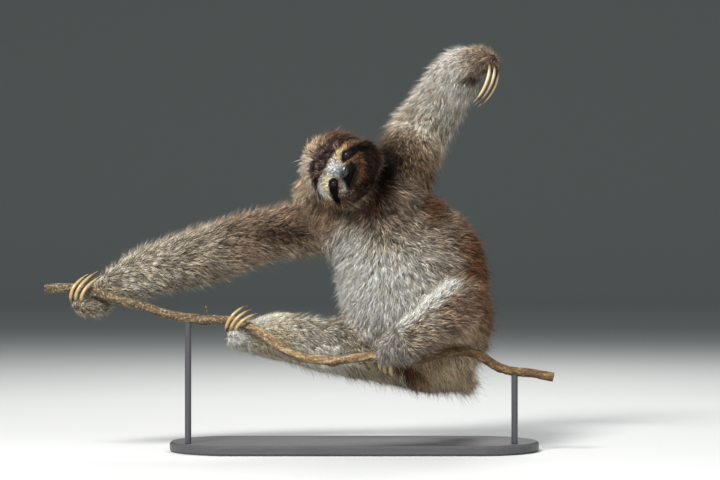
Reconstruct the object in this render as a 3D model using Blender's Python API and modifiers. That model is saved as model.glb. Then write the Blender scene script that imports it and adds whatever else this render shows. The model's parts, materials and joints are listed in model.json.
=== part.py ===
"""A life-size three-toed sloth, clinging to a cut length of vine above a plain display stand.

The sloth faces -Y with its left side towards +X. It hooks its right hand and both feet round the vine and
reaches up with its left arm, with its head rolled over towards its right shoulder. Every flesh solid goes out
to the tips of the coat. Points are (x, y, z) in millimetres above the floor; a station adds a radius.
"""

import math

import bmesh
import bpy
import numpy as np
from mathutils import Matrix, Vector

MM = 0.001
GAP = 0.3  # clearance between neighbouring solids

# Driving sizes of a grown brown-throated sloth, coat included.
HEAD_WIDTH = 100
EYE_SPACING = 42
EYE_RADIUS = 6.0
CLAW_RADIUS = 2.7
VINE_RADIUS = 6.8

# Voxel sizes, smoothing passes and how many triangles each flesh mesh keeps.
BODY_VOXEL = 4.0
HEAD_VOXEL = 2.2
BODY_SMOOTHING = 10
NEAR_SMOOTHING = 6
HEAD_SMOOTHING = 20
BODY_TRIANGLES = 1900
NEAR_TRIANGLES = 460
HEAD_TRIANGLES = 980
CLAW_POINTS = 8
VINE_POINTS = 41

# ---------------------------------------------------------------- stations of the body, (x, y, z, radius)
ARM_RIGHT = [
    (-40, 24, 318, 42), (-84, 26, 312, 40), (-126, 30, 305, 39), (-168, 32, 294, 41), (-203, 30, 281, 43),
    (-238, 26, 270, 42), (-280, 20, 258, 39), (-315, 12, 245, 32), (-339, 8, 236, 25), (-356, 5, 227, 21),
]
HAND_RIGHT = [(-356, 5, 227, 20), (-360, 0, 211, 17), (-370, -14, 204, 17), (-384, -27, 204, 15), (-391, -35, 206, 12)]
LEG_RIGHT = [
    (81, 30, 130, 48), (35, 18, 139, 45), (-21, 12, 145, 42), (-63, 9, 151, 37), (-98, 9, 160, 36),
    (-119, 8, 162, 34), (-139, 3, 161, 28), (-161, -4, 160, 22),
]
TOES_RIGHT = [(-161, -4, 160, 21), (-170, -20, 160, 18), (-174, -34, 164, 13)]
HEEL_RIGHT = [(-98, 8, 172, 24), (-110, 4, 178, 20)]
SHOULDER_LEFT = [(50, 26, 350, 50), (54, 30, 366, 46)]
ARM_LEFT = [
    (54, 30, 362, 41), (58, 36, 384, 45), (68, 62, 412, 46), (82, 98, 445, 46), (98, 88, 470, 42), (114, 64, 495, 40),
    (133, 32, 526, 35), (148, 8, 540, 28),
]
HAND_LEFT = [(148, 8, 540, 27), (165, -8, 549, 21), (179, -18, 546, 17), (186, -22, 540, 13)]
LEG_LEFT = [(133, 30, 157, 50), (140, -12, 190, 46), (137, -48, 208, 38), (98, -62, 181, 34), (63, -62, 157, 28)]
FOOT_LEFT = [(63, -62, 157, 27), (50, -61, 148, 24), (39, -58, 140, 19)]
NECK = [(-22, 8, 384, 46), (4, 20, 366, 52), (21, 28, 350, 58)]
MANE = [(-30, -4, 384, 40), (-58, 2, 370, 34), (-52, 10, 350, 38)]
TAIL = [(122, 80, 126, 26), (138, 102, 106, 23), (149, 118, 96, 17)]

# Trunk stations: (x, y, z, half width, half depth, half length), leaning with the spine.
SPINE_LEAN = math.radians(-27.5)
TRUNK = [
    (17, 30, 346, 70, 54, 50), (36, 34, 314, 86, 62, 55), (60, 36, 276, 103, 74, 60), (74, 36, 241, 112, 84, 60),
    (84, 36, 206, 108, 86, 60), (95, 40, 171, 92, 76, 55), (108, 46, 143, 66, 60, 64),
]

# The head's own frame: origin between the eyes, +X to the sloth's left, -Y out of the face, +Z to the crown.
HEAD_AT = (-26, -56, 397)
CROWN = Vector((-0.869, 0.26, 0.421)).normalized()
HEAD_TURN = math.radians(-4.5)  # to its right, about the middle of the skull
SKULL = Vector((0, 38, 15))
HEAD_BLOBS = [  # centre, then radii, as shares of the head's width
    ((-0.03, 0.38, 0.15), (0.52, 0.47, 0.54)),
    ((0.22, 0.32, -0.09), (0.31, 0.32, 0.33)),
    ((-0.22, 0.32, -0.09), (0.31, 0.32, 0.33)),
    ((0, 0.21, 0.20), (0.34, 0.22, 0.22)),
    ((0, 0.14, -0.03), (0.38, 0.22, 0.34)),
    ((0, -0.03, -0.145), (0.17, 0.17, 0.14)),
    ((0, 0.03, -0.27), (0.17, 0.14, 0.11)),
    ((0, 0.22, -0.26), (0.33, 0.27, 0.22)),
]
EYE_AT = (EYE_SPACING / 2, 1.2, 0)
NOSE_AT = (0, -19, -12)
NOSE_RADII = (8.5, 5.0, 6.0)

# The vine's line, left end first.
VINE = [
    (-436, -27, 228), (-420, -27, 232), (-399, -27, 232), (-378, -27, 228), (-350, -27, 218), (-322, -27, 209),
    (-294, -27, 202), (-259, -27, 192), (-224, -27, 187), (-185, -28, 185), (-164, -30, 181), (-137, -33, 168),
    (-112, -36, 150), (-84, -38, 134), (-67, -39, 128), (-42, -39, 129), (-14, -39, 133), (25, -38, 137),
    (49, -38, 133), (77, -38, 131), (112, -38, 139), (140, -36, 143), (161, -33, 140), (182, -29, 126),
    (200, -26, 116), (238, -26, 112), (268, -26, 107),
]

# Claws, three to a hand or foot: the root, two points that the hook bends towards, and the tip.
CLAWS = {
    "hand_right": [
        [(-399, -32, 209), (-407, -53, 229), (-384, -35, 246), (-378, -16, 249)],
        [(-392.5, -34, 208), (-400, -58, 228), (-373, -33, 249), (-365, -14, 253)],
        [(-386, -34, 206), (-391, -58, 226), (-367, -33, 243), (-359, -17, 247)],
    ],
    "foot_right": [
        [(-185, -29, 169), (-189, -50, 184), (-167, -42, 206), (-156, -24, 205)],
        [(-179, -31, 168.5), (-182, -51, 182), (-160, -45, 200), (-151, -26, 200)],
        [(-173, -32, 168), (-174, -54, 181), (-151, -44, 195), (-142, -26, 194)],
    ],
    "foot_left": [
        [(29, -58, 141), (26, -70, 123), (27, -38, 111), (32, -26, 121)],
        [(35.5, -60, 137), (32, -72, 118), (34.5, -38, 107), (40, -27, 118)],
        [(42.5, -61, 134), (40, -72, 114), (44, -40, 105), (48, -28, 114)],
    ],
    "hand_left": [
        [(180, -31, 540), (180, -42, 522), (171, -38, 500), (156, -41, 486)],
        [(187.5, -26, 540), (187.5, -35, 520), (176, -32, 497), (159, -35, 484)],
        [(192, -19, 536), (192.5, -28, 516), (182, -25, 493), (163, -28, 481)],
    ],
}

# Where the flesh is parted, from the trunk outwards: name, middle of the cut, the way on, half its width.
BODY_CUTS = [
    [
        ("upper_arm_right", (-72, 26, 327), (-0.90, 0, -0.43), 66),
        ("forearm_right", (-188, 30, 286), (-0.96, -0.05, -0.29), 70),
        ("hand_right", (-352, 6, 230), (-0.80, -0.15, -0.58), 45),
    ],
    [
        ("thigh_right", (26, 30, 137), (-0.74, 0, -0.67), 80),
        ("shin_right", (-14, 12, 146), (-0.98, -0.08, 0.16), 70),
        ("foot_right", (-92, 9, 158), (-0.99, -0.06, 0.06), 60),
    ],
    [("tail", (130, 92, 115), (0.45, 0.66, -0.60), 42)],
    [("neck", (-4, 16, 352), (-0.62, -0.40, 0.66), 110)],
]
ARM_CUTS = [("forearm_left", (86, 86, 448), (0.47, 0.04, 0.88), 75), ("hand_left", (149, 6, 541), (0.80, -0.55, 0.20), 60)]
LEG_CUTS = [("shin_left", (134, -46, 205), (-0.62, -0.78, 0), 58), ("foot_left", (61, -62, 156), (-0.85, 0.08, -0.52), 42)]

# The display stand: a stadium-shaped base and two rods up to the vine.
BASE_SIZE = (520, 190, 14)
BASE_AT = (-8, 22)
BASE_BEVEL = 3
ROD_RADIUS = 4.5
ROD_X = (-240, 216)

FUR = ((0.36, 0.29, 0.23), 0.9)
HORN = ((0.80, 0.68, 0.48), 0.4)
EYE = ((0.03, 0.02, 0.015), 0.1)
NOSE_SKIN = ((0.03, 0.03, 0.035), 0.4)
BARK = ((0.40, 0.28, 0.18), 0.9)
STAND = ((0.10, 0.10, 0.11), 0.5)


# ---------------------------------------------------------------- helpers
def clear_scene():
    for obj in list(bpy.data.objects):
        bpy.data.objects.remove(obj)


def new_collection(name):
    made = bpy.data.collections.new(name)
    bpy.context.scene.collection.children.link(made)
    return made


def paint(obj, finish):
    """Gives the object a material of its own with this colour and roughness."""
    colour, roughness = finish
    material = bpy.data.materials.new(obj.name)
    material.use_nodes = True
    shader = material.node_tree.nodes["Principled BSDF"]
    shader.inputs["Base Color"].default_value = (*colour, 1.0)
    shader.inputs["Roughness"].default_value = roughness
    obj.data.materials.clear()
    obj.data.materials.append(material)


def add_object(name, data, collection):
    obj = bpy.data.objects.new(name, data)
    collection.objects.link(obj)
    return obj


def smooth_line(points, per_span):
    """Points along a Catmull-Rom curve through the given ones, of any number of values each."""
    p = np.array(points, float)
    p = np.vstack([2 * p[0] - p[1], p, 2 * p[-1] - p[-2]])
    t = np.arange(per_span)[:, None] / per_span
    line = []
    for a, b, c, d in zip(p[:-3], p[1:-2], p[2:-1], p[3:]):
        line.extend(0.5 * (2 * b + (c - a) * t + (2 * a - 5 * b + 4 * c - d) * t**2 + (3 * b - a - 3 * c + d) * t**3))
    return np.array([*line, p[-2]])


def hook_line(root, bend_a, bend_b, tip, count):
    """Points along one claw's curve."""
    t = np.linspace(0.0, 1.0, count)[:, None]
    a, b, c, d = (np.array(point, float) for point in (root, bend_a, bend_b, tip))
    return a * (1 - t) ** 3 + 3 * b * t * (1 - t) ** 2 + 3 * c * t**2 * (1 - t) + d * t**3


def even_line(points, count):
    """Evenly spaced points along the smooth curve through the given ones."""
    line = smooth_line(points, 8)
    run = np.concatenate([[0.0], np.cumsum(np.linalg.norm(np.diff(line, axis=0), axis=1))])
    wanted = np.linspace(0.0, run[-1], count)
    return np.array([np.interp(wanted, run, line[:, k]) for k in range(line.shape[1])]).T


def add_blob(bm, centre, radii, turn=None):
    """An ellipsoid of these half sizes, turned about its centre."""
    matrix = Matrix.Translation(Vector(centre) * MM) @ (turn or Matrix.Identity(4))
    matrix = matrix @ Matrix.Diagonal((*[r * MM for r in radii], 1.0))
    bmesh.ops.create_icosphere(bm, subdivisions=3, radius=1.0, matrix=matrix)


def add_chain(bm, stations, per_span=5):
    """A limb as a close row of balls through its stations."""
    for x, y, z, radius in smooth_line(stations, per_span):
        add_blob(bm, (x, y, z), (radius,) * 3)


def evaluated_copy(obj, name, collection):
    """The object with its modifiers applied, as a new mesh object; the old one is removed."""
    bpy.context.view_layer.update()
    graph = bpy.context.evaluated_depsgraph_get()
    mesh = bpy.data.meshes.new_from_object(obj.evaluated_get(graph))
    made = add_object(name, mesh, collection)
    made.matrix_world = obj.matrix_world.copy()
    bpy.data.objects.remove(obj)
    made.name = name
    return made


def fuse(name, bm, voxel, passes, triangles, collection):
    """Melts overlapping closed shapes into one smooth skin of about this many triangles."""
    mesh = bpy.data.meshes.new(name + "_blobs")
    bm.to_mesh(mesh)
    bm.free()
    obj = add_object(name + "_blobs", mesh, collection)
    remesh = obj.modifiers.new("Fuse", "REMESH")
    remesh.mode = "VOXEL"
    remesh.voxel_size = voxel * MM
    relax = obj.modifiers.new("Relax", "SMOOTH")
    relax.factor = 0.5
    relax.iterations = passes
    obj = evaluated_copy(obj, name + "_smooth", collection)
    obj.modifiers.new("Triangles", "TRIANGULATE")
    obj = evaluated_copy(obj, name + "_fine", collection)
    thin = obj.modifiers.new("Thin", "DECIMATE")
    thin.ratio = min(1.0, triangles / len(obj.data.polygons))
    return evaluated_copy(obj, name, collection)


def grown(obj, amount, cutters):
    """A hidden copy of a closed mesh, moved out along its normals by this many millimetres."""
    copy = add_object(obj.name + "_grown", obj.data.copy(), cutters)
    copy.matrix_world = obj.matrix_world.copy()
    swell = copy.modifiers.new("Swell", "DISPLACE")
    swell.strength = amount * MM
    swell.mid_level = 0.0
    return hide(evaluated_copy(copy, obj.name + "_grown", cutters))


def hide(obj):
    obj.hide_render = True
    obj.display_type = "WIRE"
    return obj


def cut(obj, cutter, operation, collection):
    """The object after a Boolean with the cutter."""
    boolean = obj.modifiers.new("Cut", "BOOLEAN")
    boolean.object = cutter
    boolean.operation = operation
    boolean.solver = "EXACT"
    return evaluated_copy(obj, obj.name, collection)


def tube(name, line, radii, collection, sides=2):
    """A closed tube along a line of points, with a radius at each."""
    curve = bpy.data.curves.new(name, "CURVE")
    curve.dimensions = "3D"
    curve.bevel_depth = MM
    curve.bevel_resolution = sides
    curve.use_fill_caps = True
    spline = curve.splines.new("POLY")
    spline.points.add(len(line) - 1)
    for point, place, radius in zip(spline.points, line, radii):
        point.co = (*(Vector(place) * MM), 1.0)
        point.radius = radius
    obj = evaluated_copy(add_object(name + "_curve", curve, collection), name, collection)
    bm = bmesh.new()
    bm.from_mesh(obj.data)
    bmesh.ops.remove_doubles(bm, verts=bm.verts, dist=1e-6)
    bmesh.ops.recalc_face_normals(bm, faces=bm.faces)
    bm.to_mesh(obj.data)
    bm.free()
    return obj


def facing(direction):
    """A turn that takes +Z to this direction and keeps +X level with the front view."""
    ahead = Vector(direction).normalized()
    side = Vector((0, 1, 0)).cross(ahead).normalized()
    return Matrix((side, ahead.cross(side), ahead)).transposed().to_4x4()


def slit(name, place, direction, half_width, cutters):
    """A cutter as thin as the gap, square to the way a limb goes."""
    width = 2 * half_width * MM
    matrix = Matrix.Translation(Vector(place) * MM) @ facing(direction)
    bm = bmesh.new()
    bmesh.ops.create_cube(bm, size=1.0, matrix=matrix @ Matrix.Diagonal((width, width, GAP * MM, 1.0)))
    mesh = bpy.data.meshes.new(name)
    bm.to_mesh(mesh)
    bm.free()
    return hide(add_object(name, mesh, cutters))


def islands(bm):
    """The loose parts of a mesh, as sets of vertices."""
    left, found = set(bm.verts), []
    while left:
        reached, edge = set(), [left.pop()]
        while edge:
            vertex = edge.pop()
            reached.add(vertex)
            near = {link.other_vert(vertex) for link in vertex.link_edges} & left
            left -= near
            edge.extend(near)
        found.append(reached)
    return found


def keep_largest(obj):
    """Drops the crumbs that a cut leaves where two skins nearly touch."""
    bm = bmesh.new()
    bm.from_mesh(obj.data)
    largest = max(islands(bm), key=len)
    bmesh.ops.delete(bm, geom=list(set(bm.verts) - largest), context="VERTS")
    bm.to_mesh(obj.data)
    bm.free()


def split(obj, name, place, direction, half_width, collection, cutters):
    """Slits the object and takes off the loose part that lies furthest ahead. Returns what stays, and that part."""
    obj = cut(obj, slit(name + "_slit", place, direction, half_width, cutters), "DIFFERENCE", collection)
    ahead = Vector(direction)
    pieces = []
    for wanted in ("behind", "ahead"):
        bm = bmesh.new()
        bm.from_mesh(obj.data)
        groups = sorted(islands(bm), key=lambda group: sum(v.co.dot(ahead) for v in group) / len(group))
        unwanted = set(bm.verts) - groups[-1] if wanted == "ahead" else groups[-1]
        bmesh.ops.delete(bm, geom=list(unwanted), context="VERTS")
        mesh = bpy.data.meshes.new(name)
        bm.to_mesh(mesh)
        bm.free()
        pieces.append(mesh)
    stays, taken = pieces
    obj.data = stays
    return obj, add_object(name, taken, collection)


def part_limb(rest, cuts, collection, cutters):
    """Takes a whole limb off, then parts it at each joint. Returns what stays, and the limb's parts."""
    rest, limb = split(rest, *cuts[0], collection, cutters)
    parts = []
    for joint in cuts[1:]:
        limb, beyond = split(limb, *joint, collection, cutters)
        parts.append(limb)
        limb = beyond
    return rest, [*parts, limb]


# ---------------------------------------------------------------- the pieces
def make_vine(collection, cutters):
    """A slender vine, a little thinner at its cut right end, and the cutter that keeps flesh off it."""
    line = even_line(VINE, VINE_POINTS)
    share = np.linspace(0.0, 1.0, len(line))
    radii = VINE_RADIUS * (1.0 + 0.06 * np.sin(23 * share) - 0.22 * share**3)
    vine = tube("vine", line, radii, collection)
    cutter = hide(tube("vine_cutter", line, radii + GAP, cutters))
    return vine, cutter


def make_claws(collection, cutters):
    """Three tapered hooks on each hand and foot, with a cutter for the socket of each."""
    claws, sockets = [], []
    for limb, lines in CLAWS.items():
        for number, points in enumerate(lines, 1):
            line = hook_line(*points, CLAW_POINTS)
            share = np.linspace(0.0, 1.0, len(line))
            radii = CLAW_RADIUS * (1.0 - 0.75 * share**2.2)
            claws.append(tube(f"claw_{limb}_{number}", line, radii, collection, sides=1))
            sockets.append(hide(tube(f"socket_{limb}_{number}", line, radii + GAP, cutters, sides=1)))
    return claws, sockets


def head_matrix():
    back = Vector((0, 1, 0))
    up = (CROWN - back * CROWN.dot(back)).normalized()
    pitch = Matrix.Rotation(math.asin(-CROWN.y), 4, "X")
    roll = Matrix((back.cross(up), back, up)).transposed().to_4x4()
    to_skull = Matrix.Translation(SKULL * MM)
    turn = to_skull @ Matrix.Rotation(HEAD_TURN, 4, "Z") @ to_skull.inverted()
    return Matrix.Translation(Vector(HEAD_AT) * MM) @ roll @ pitch @ turn


def make_head(collection, cutters):
    """The round head with its short muzzle, set in the head's frame, with eyes and a nose pad."""
    place = head_matrix()
    bm = bmesh.new()
    for centre, radii in HEAD_BLOBS:
        add_blob(bm, [HEAD_WIDTH * c for c in centre], [HEAD_WIDTH * r for r in radii])
    bmesh.ops.transform(bm, matrix=place, verts=bm.verts)
    head = fuse("head", bm, HEAD_VOXEL, HEAD_SMOOTHING, HEAD_TRIANGLES, collection)
    small = []
    for side, name in ((1, "eye_left"), (-1, "eye_right")):
        at = (side * EYE_AT[0], EYE_AT[1], EYE_AT[2])
        small.append(ball(name, place, at, (EYE_RADIUS,) * 3, collection))
    small.append(ball("nose", place, NOSE_AT, NOSE_RADII, collection))
    for obj in list(small):
        head = cut(head, grown(obj, GAP, cutters), "DIFFERENCE", collection)
    return head, small


def ball(name, place, centre, radii, collection):
    bm = bmesh.new()
    matrix = place @ Matrix.Translation(Vector(centre) * MM) @ Matrix.Diagonal((*[r * MM for r in radii], 1.0))
    bmesh.ops.create_uvsphere(bm, u_segments=10, v_segments=7, radius=1.0, matrix=matrix)
    mesh = bpy.data.meshes.new(name)
    bm.to_mesh(mesh)
    bm.free()
    mesh.shade_smooth()
    return add_object(name, mesh, collection)


def make_body(collection):
    """Trunk, neck, right arm, right leg and tail as one skin, with the stub of the left shoulder."""
    bm = bmesh.new()
    lean = Matrix.Rotation(SPINE_LEAN, 4, "Y")
    for x, y, z, wide, deep, long in smooth_line(TRUNK, 2):
        add_blob(bm, (x, y, z), (wide, deep, long), lean)
    for stations in (NECK, MANE, SHOULDER_LEFT, ARM_RIGHT, HAND_RIGHT, LEG_RIGHT, TOES_RIGHT, HEEL_RIGHT, TAIL):
        add_chain(bm, stations)
    return fuse("trunk", bm, BODY_VOXEL, BODY_SMOOTHING, BODY_TRIANGLES, collection)


def make_near_limb(name, chains, collection):
    """A limb that lies in front of or against the body, as a skin of its own."""
    bm = bmesh.new()
    for stations in chains:
        add_chain(bm, stations)
    return fuse(name, bm, BODY_VOXEL, NEAR_SMOOTHING, NEAR_TRIANGLES, collection)


def make_stand(collection, vine_cutter):
    """A stadium-shaped base and two upright rods with seats under the vine."""
    length, width, height = BASE_SIZE
    bm = bmesh.new()
    bmesh.ops.create_circle(bm, cap_ends=True, segments=36, radius=width / 2 * MM)
    straight = (length - width) / 2 * MM
    for vertex in bm.verts:
        vertex.co.x += math.copysign(straight, vertex.co.x) if abs(vertex.co.x) > 1e-6 else 0.0
    shell = bmesh.ops.extrude_face_region(bm, geom=bm.faces[:])
    top = [item for item in shell["geom"] if isinstance(item, bmesh.types.BMVert)]
    bmesh.ops.translate(bm, vec=(0, 0, height * MM), verts=top)
    bmesh.ops.recalc_face_normals(bm, faces=bm.faces)
    mesh = bpy.data.meshes.new("stand_base")
    bm.to_mesh(mesh)
    bm.free()
    base = add_object("stand_base", mesh, collection)
    base.location = (BASE_AT[0] * MM, BASE_AT[1] * MM, 0)
    edge = base.modifiers.new("Edge", "BEVEL")
    edge.width = BASE_BEVEL * MM
    edge.segments = 1
    pieces = [base]
    vine_line = smooth_line(VINE, 12)
    for number, x in enumerate(ROD_X, 1):
        seat = vine_line[np.argmin(abs(vine_line[:, 0] - x))]
        bottom = height + GAP
        bm = bmesh.new()
        bmesh.ops.create_cone(
            bm, cap_ends=True, segments=16, radius1=ROD_RADIUS * MM, radius2=ROD_RADIUS * MM,
            depth=(seat[2] - bottom) * MM,
            matrix=Matrix.Translation(Vector((seat[0], seat[1], (seat[2] + bottom) / 2)) * MM),
        )
        mesh = bpy.data.meshes.new(f"stand_rod_{number}")
        bm.to_mesh(mesh)
        bm.free()
        rod = add_object(f"stand_rod_{number}", mesh, collection)
        pieces.append(cut(rod, vine_cutter, "DIFFERENCE", collection))
    return pieces


def centre_on_base(objects):
    """Moves everything so that the origin lies under the middle of the whole model."""
    bpy.context.view_layer.update()
    graph = bpy.context.evaluated_depsgraph_get()
    corners = []
    for obj in objects:
        shown = obj.evaluated_get(graph)
        corners += [shown.matrix_world @ Vector(corner) for corner in shown.bound_box]
    low = Vector([min(c[k] for c in corners) for k in range(3)])
    high = Vector([max(c[k] for c in corners) for k in range(3)])
    middle = (low + high) / 2
    for obj in objects:
        obj.location -= Vector((middle.x, middle.y, low.z))


def main():
    clear_scene()
    sloth, cutters = new_collection("three_toed_sloth"), new_collection("cutters")
    vine, vine_cutter = make_vine(sloth, cutters)
    claws, sockets = make_claws(sloth, cutters)
    head, face = make_head(sloth, cutters)
    body = make_body(sloth)
    for cutter in (grown(head, GAP, cutters), vine_cutter):
        body = cut(body, cutter, "DIFFERENCE", sloth)
    arm = make_near_limb("upper_arm_left", (ARM_LEFT, HAND_LEFT), sloth)
    leg = make_near_limb("thigh_left", (LEG_LEFT, FOOT_LEFT), sloth)
    clear = [grown(body, GAP, cutters), grown(head, GAP, cutters), vine_cutter]
    for cutter in clear:
        arm = cut(arm, cutter, "DIFFERENCE", sloth)
        leg = cut(leg, cutter, "DIFFERENCE", sloth)
    for socket in sockets:
        body = cut(body, socket, "DIFFERENCE", sloth)
        arm = cut(arm, socket, "DIFFERENCE", sloth)
        leg = cut(leg, socket, "DIFFERENCE", sloth)
    for skin in (body, arm, leg):
        keep_largest(skin)
    flesh = [head]
    for cuts in BODY_CUTS:
        body, parts = part_limb(body, cuts, sloth, cutters)
        flesh += parts
    for limb, cuts in ((arm, ARM_CUTS), (leg, LEG_CUTS)):
        stays, parts = part_limb(limb, cuts, sloth, cutters)
        flesh += [stays, *parts]
    flesh.append(body)
    stand = make_stand(sloth, vine_cutter)
    for pieces, finish in (
        (flesh, FUR), (claws, HORN), (face[:2], EYE), (face[2:], NOSE_SKIN), ([vine], BARK), (stand, STAND),
    ):
        for obj in pieces:
            paint(obj, finish)
    centre_on_base([*flesh, *claws, *face, vine, *stand])


main()
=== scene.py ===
# %% [markdown]
# # A three-toed sloth on its vine, life size
#
# This lesson dresses a plain solid model of a brown-throated three-toed sloth. The animal grips a cut
# length of vine with one hand and two feet and reaches up with the other arm. The solid model gives
# every size and place. Here it gets a skin, a coat of real mesh tufts, eyes, a nose, claws and bark.
# All numbers are metres unless a name says otherwise, with Z up and Y pointing away from the camera.

# %% Load the solid model
import json
import math

import bpy
import numpy as np
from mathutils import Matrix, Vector, noise
from mathutils.bvhtree import BVHTree
from mathutils.kdtree import KDTree

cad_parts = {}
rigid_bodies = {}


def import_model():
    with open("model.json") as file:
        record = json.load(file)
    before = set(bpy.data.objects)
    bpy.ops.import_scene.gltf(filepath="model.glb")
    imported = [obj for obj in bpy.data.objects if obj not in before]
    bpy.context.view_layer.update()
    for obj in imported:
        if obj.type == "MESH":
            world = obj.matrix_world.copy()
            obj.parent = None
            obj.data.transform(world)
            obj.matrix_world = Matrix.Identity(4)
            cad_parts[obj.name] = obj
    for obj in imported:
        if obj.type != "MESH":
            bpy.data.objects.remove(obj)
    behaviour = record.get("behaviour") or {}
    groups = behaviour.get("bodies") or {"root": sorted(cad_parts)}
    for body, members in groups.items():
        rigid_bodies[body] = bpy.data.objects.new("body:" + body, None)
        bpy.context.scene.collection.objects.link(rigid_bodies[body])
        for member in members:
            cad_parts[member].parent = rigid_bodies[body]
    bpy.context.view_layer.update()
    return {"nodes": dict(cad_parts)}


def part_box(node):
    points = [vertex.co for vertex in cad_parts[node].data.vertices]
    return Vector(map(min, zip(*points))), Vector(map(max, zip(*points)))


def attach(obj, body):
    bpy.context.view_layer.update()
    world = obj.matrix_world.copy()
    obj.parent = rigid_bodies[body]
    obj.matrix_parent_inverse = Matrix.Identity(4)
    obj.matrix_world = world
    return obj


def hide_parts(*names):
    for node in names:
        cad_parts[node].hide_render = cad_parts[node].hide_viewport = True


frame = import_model()
MM = 0.001
SEED = 11
random = np.random.default_rng(SEED)
noise.seed_set(SEED)
print("solid model:", len(frame["nodes"]), "nodes")

# %% [markdown]
# ## Camera, floor and light
#
# A long lens from a few metres away keeps the long arms in proportion, as a field camera would. The
# camera looks level at the animal's chest. The floor runs up into a curved backdrop, a photographer's
# cove, so no horizon line crosses the picture. A cove is a plane whose far edge is extruded upwards
# and bevelled. Its paint comes at the end: a painted pool of light, pale round the stand and darker
# with distance, so that the pale fur stands out.

# %% Camera
CAMERA_BACK = 3.5
CAMERA_HEIGHT = 0.2968
CAMERA_ASIDE = (0.008, -0.022)
LENS_MM, SENSOR_MM = 125, 36
base_low, base_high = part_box("stand_base")
base_middle = (base_low + base_high) / 2
bpy.ops.object.select_all(action="DESELECT")
camera_y = base_middle.y + CAMERA_ASIDE[1] - CAMERA_BACK
bpy.ops.object.camera_add(
    location=(base_middle.x + CAMERA_ASIDE[0], camera_y, CAMERA_HEIGHT),
    rotation=(math.pi / 2, 0, 0),
)
camera = bpy.context.object
camera.name = "camera"
camera.data.lens = LENS_MM
camera.data.sensor_width = SENSOR_MM
bpy.context.scene.camera = camera
print("camera stands at", tuple(round(c, 3) for c in camera.location))


# %% Helpers for edit mode
def activate(obj):
    """Makes obj the only selected object and the active one."""
    bpy.ops.object.select_all(action="DESELECT")
    obj.select_set(True)
    bpy.context.view_layer.objects.active = obj


def pick(obj, wanted, kind="faces"):
    """Selects the faces, edges or vertices of obj for which wanted(element) is true, in object mode."""
    mesh = obj.data
    for group in (mesh.vertices, mesh.edges, mesh.polygons):
        group.foreach_set("select", np.zeros(len(group), bool))
    elements = {"faces": mesh.polygons, "edges": mesh.edges, "vertices": mesh.vertices}[kind]
    for element in elements:
        element.select = bool(wanted(element))


def edit(obj, kind="FACE"):
    """Goes to edit mode with the selection kept."""
    activate(obj)
    bpy.ops.object.mode_set(mode="EDIT")
    bpy.ops.mesh.select_mode(type=kind)


def done(obj):
    """Back to object mode."""
    bpy.ops.object.mode_set(mode="OBJECT")
    return obj


def settle(obj):
    """Puts the object's place, turn and size into its mesh, so the object sits at the origin."""
    activate(obj)
    bpy.ops.object.transform_apply(location=True, rotation=True, scale=True)
    return obj


def apply_modifiers(obj):
    """Applies every modifier in order."""
    activate(obj)
    for modifier in list(obj.modifiers):
        bpy.ops.object.modifier_apply(modifier=modifier.name)
    return obj


def on_whole_mesh(obj, *steps):
    """Runs edit-mode steps, each an operator and its settings, with the whole mesh selected."""
    activate(obj)
    bpy.ops.object.mode_set(mode="EDIT")
    bpy.ops.mesh.select_all(action="SELECT")
    for operator, settings in steps:
        operator(**settings)
    return done(obj)


# %% Floor and backdrop
FLOOR_SIZE, WALL_HEIGHT = 24, 6
COVE_RADIUS, COVE_STEPS = 4.0, 24
bpy.ops.object.select_all(action="DESELECT")
bpy.ops.mesh.primitive_plane_add(size=FLOOR_SIZE, location=(base_middle.x, base_middle.y, 0))
floor = settle(bpy.context.object)
floor.name = "floor"
far_edge = base_middle.y + FLOOR_SIZE / 2 - 0.01


def at_far_side(edge, top=math.inf):
    """True for an edge at the floor's far side that lies lower than top."""
    ends = [floor.data.vertices[v].co for v in edge.vertices]
    return all(end.y > far_edge and end.z < top for end in ends)


pick(floor, at_far_side, "edges")
edit(floor, "EDGE")
bpy.ops.mesh.extrude_region_move(TRANSFORM_OT_translate={"value": (0, 0, WALL_HEIGHT)})
done(floor)
pick(floor, lambda edge: at_far_side(edge, 0.01), "edges")
edit(floor, "EDGE")
bpy.ops.mesh.bevel(offset=COVE_RADIUS, segments=COVE_STEPS, affect="EDGES")
done(floor)
activate(floor)
bpy.ops.object.shade_smooth()
print("floor faces:", len(floor.data.polygons))


LIGHTS = {  # place from the middle of the floor, size, power and colour
    "key_light": ((-1.1, -2.3, 2.4), 0.8, 205, (1.0, 0.98, 0.95)),
    "fill_light": ((2.2, -2.0, 1.8), 1.6, 25, (0.95, 0.98, 1.0)),
    "rim_light": ((0.4, 2.0, 2.2), 1.4, 50, (1.0, 0.98, 0.95)),
}
SKY_COLOUR, SKY_POWER = (0.80, 0.84, 0.88, 1), 0.38


def soft_light(name, place, aim, size, power, colour):
    """A square area light that faces aim."""
    bpy.ops.object.light_add(type="AREA", location=place)
    light = bpy.context.object
    light.name = name
    light.data.size = size
    light.data.energy = power
    light.data.color = colour
    light.rotation_euler = (Vector(aim) - Vector(place)).to_track_quat("-Z", "Y").to_euler()
    return light


aim = (base_middle.x + 0.05, base_middle.y, 0.3)
for name, ((aside, away, height), size, power, colour) in LIGHTS.items():
    soft_light(name, (base_middle.x + aside, base_middle.y + away, height), aim, size, power, colour)
world = bpy.data.worlds.new("studio")
world.use_nodes = True
world.node_tree.nodes["Background"].inputs["Color"].default_value = SKY_COLOUR
world.node_tree.nodes["Background"].inputs["Strength"].default_value = SKY_POWER
bpy.context.scene.world = world
bpy.context.scene.view_settings.view_transform = "Standard"

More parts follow.
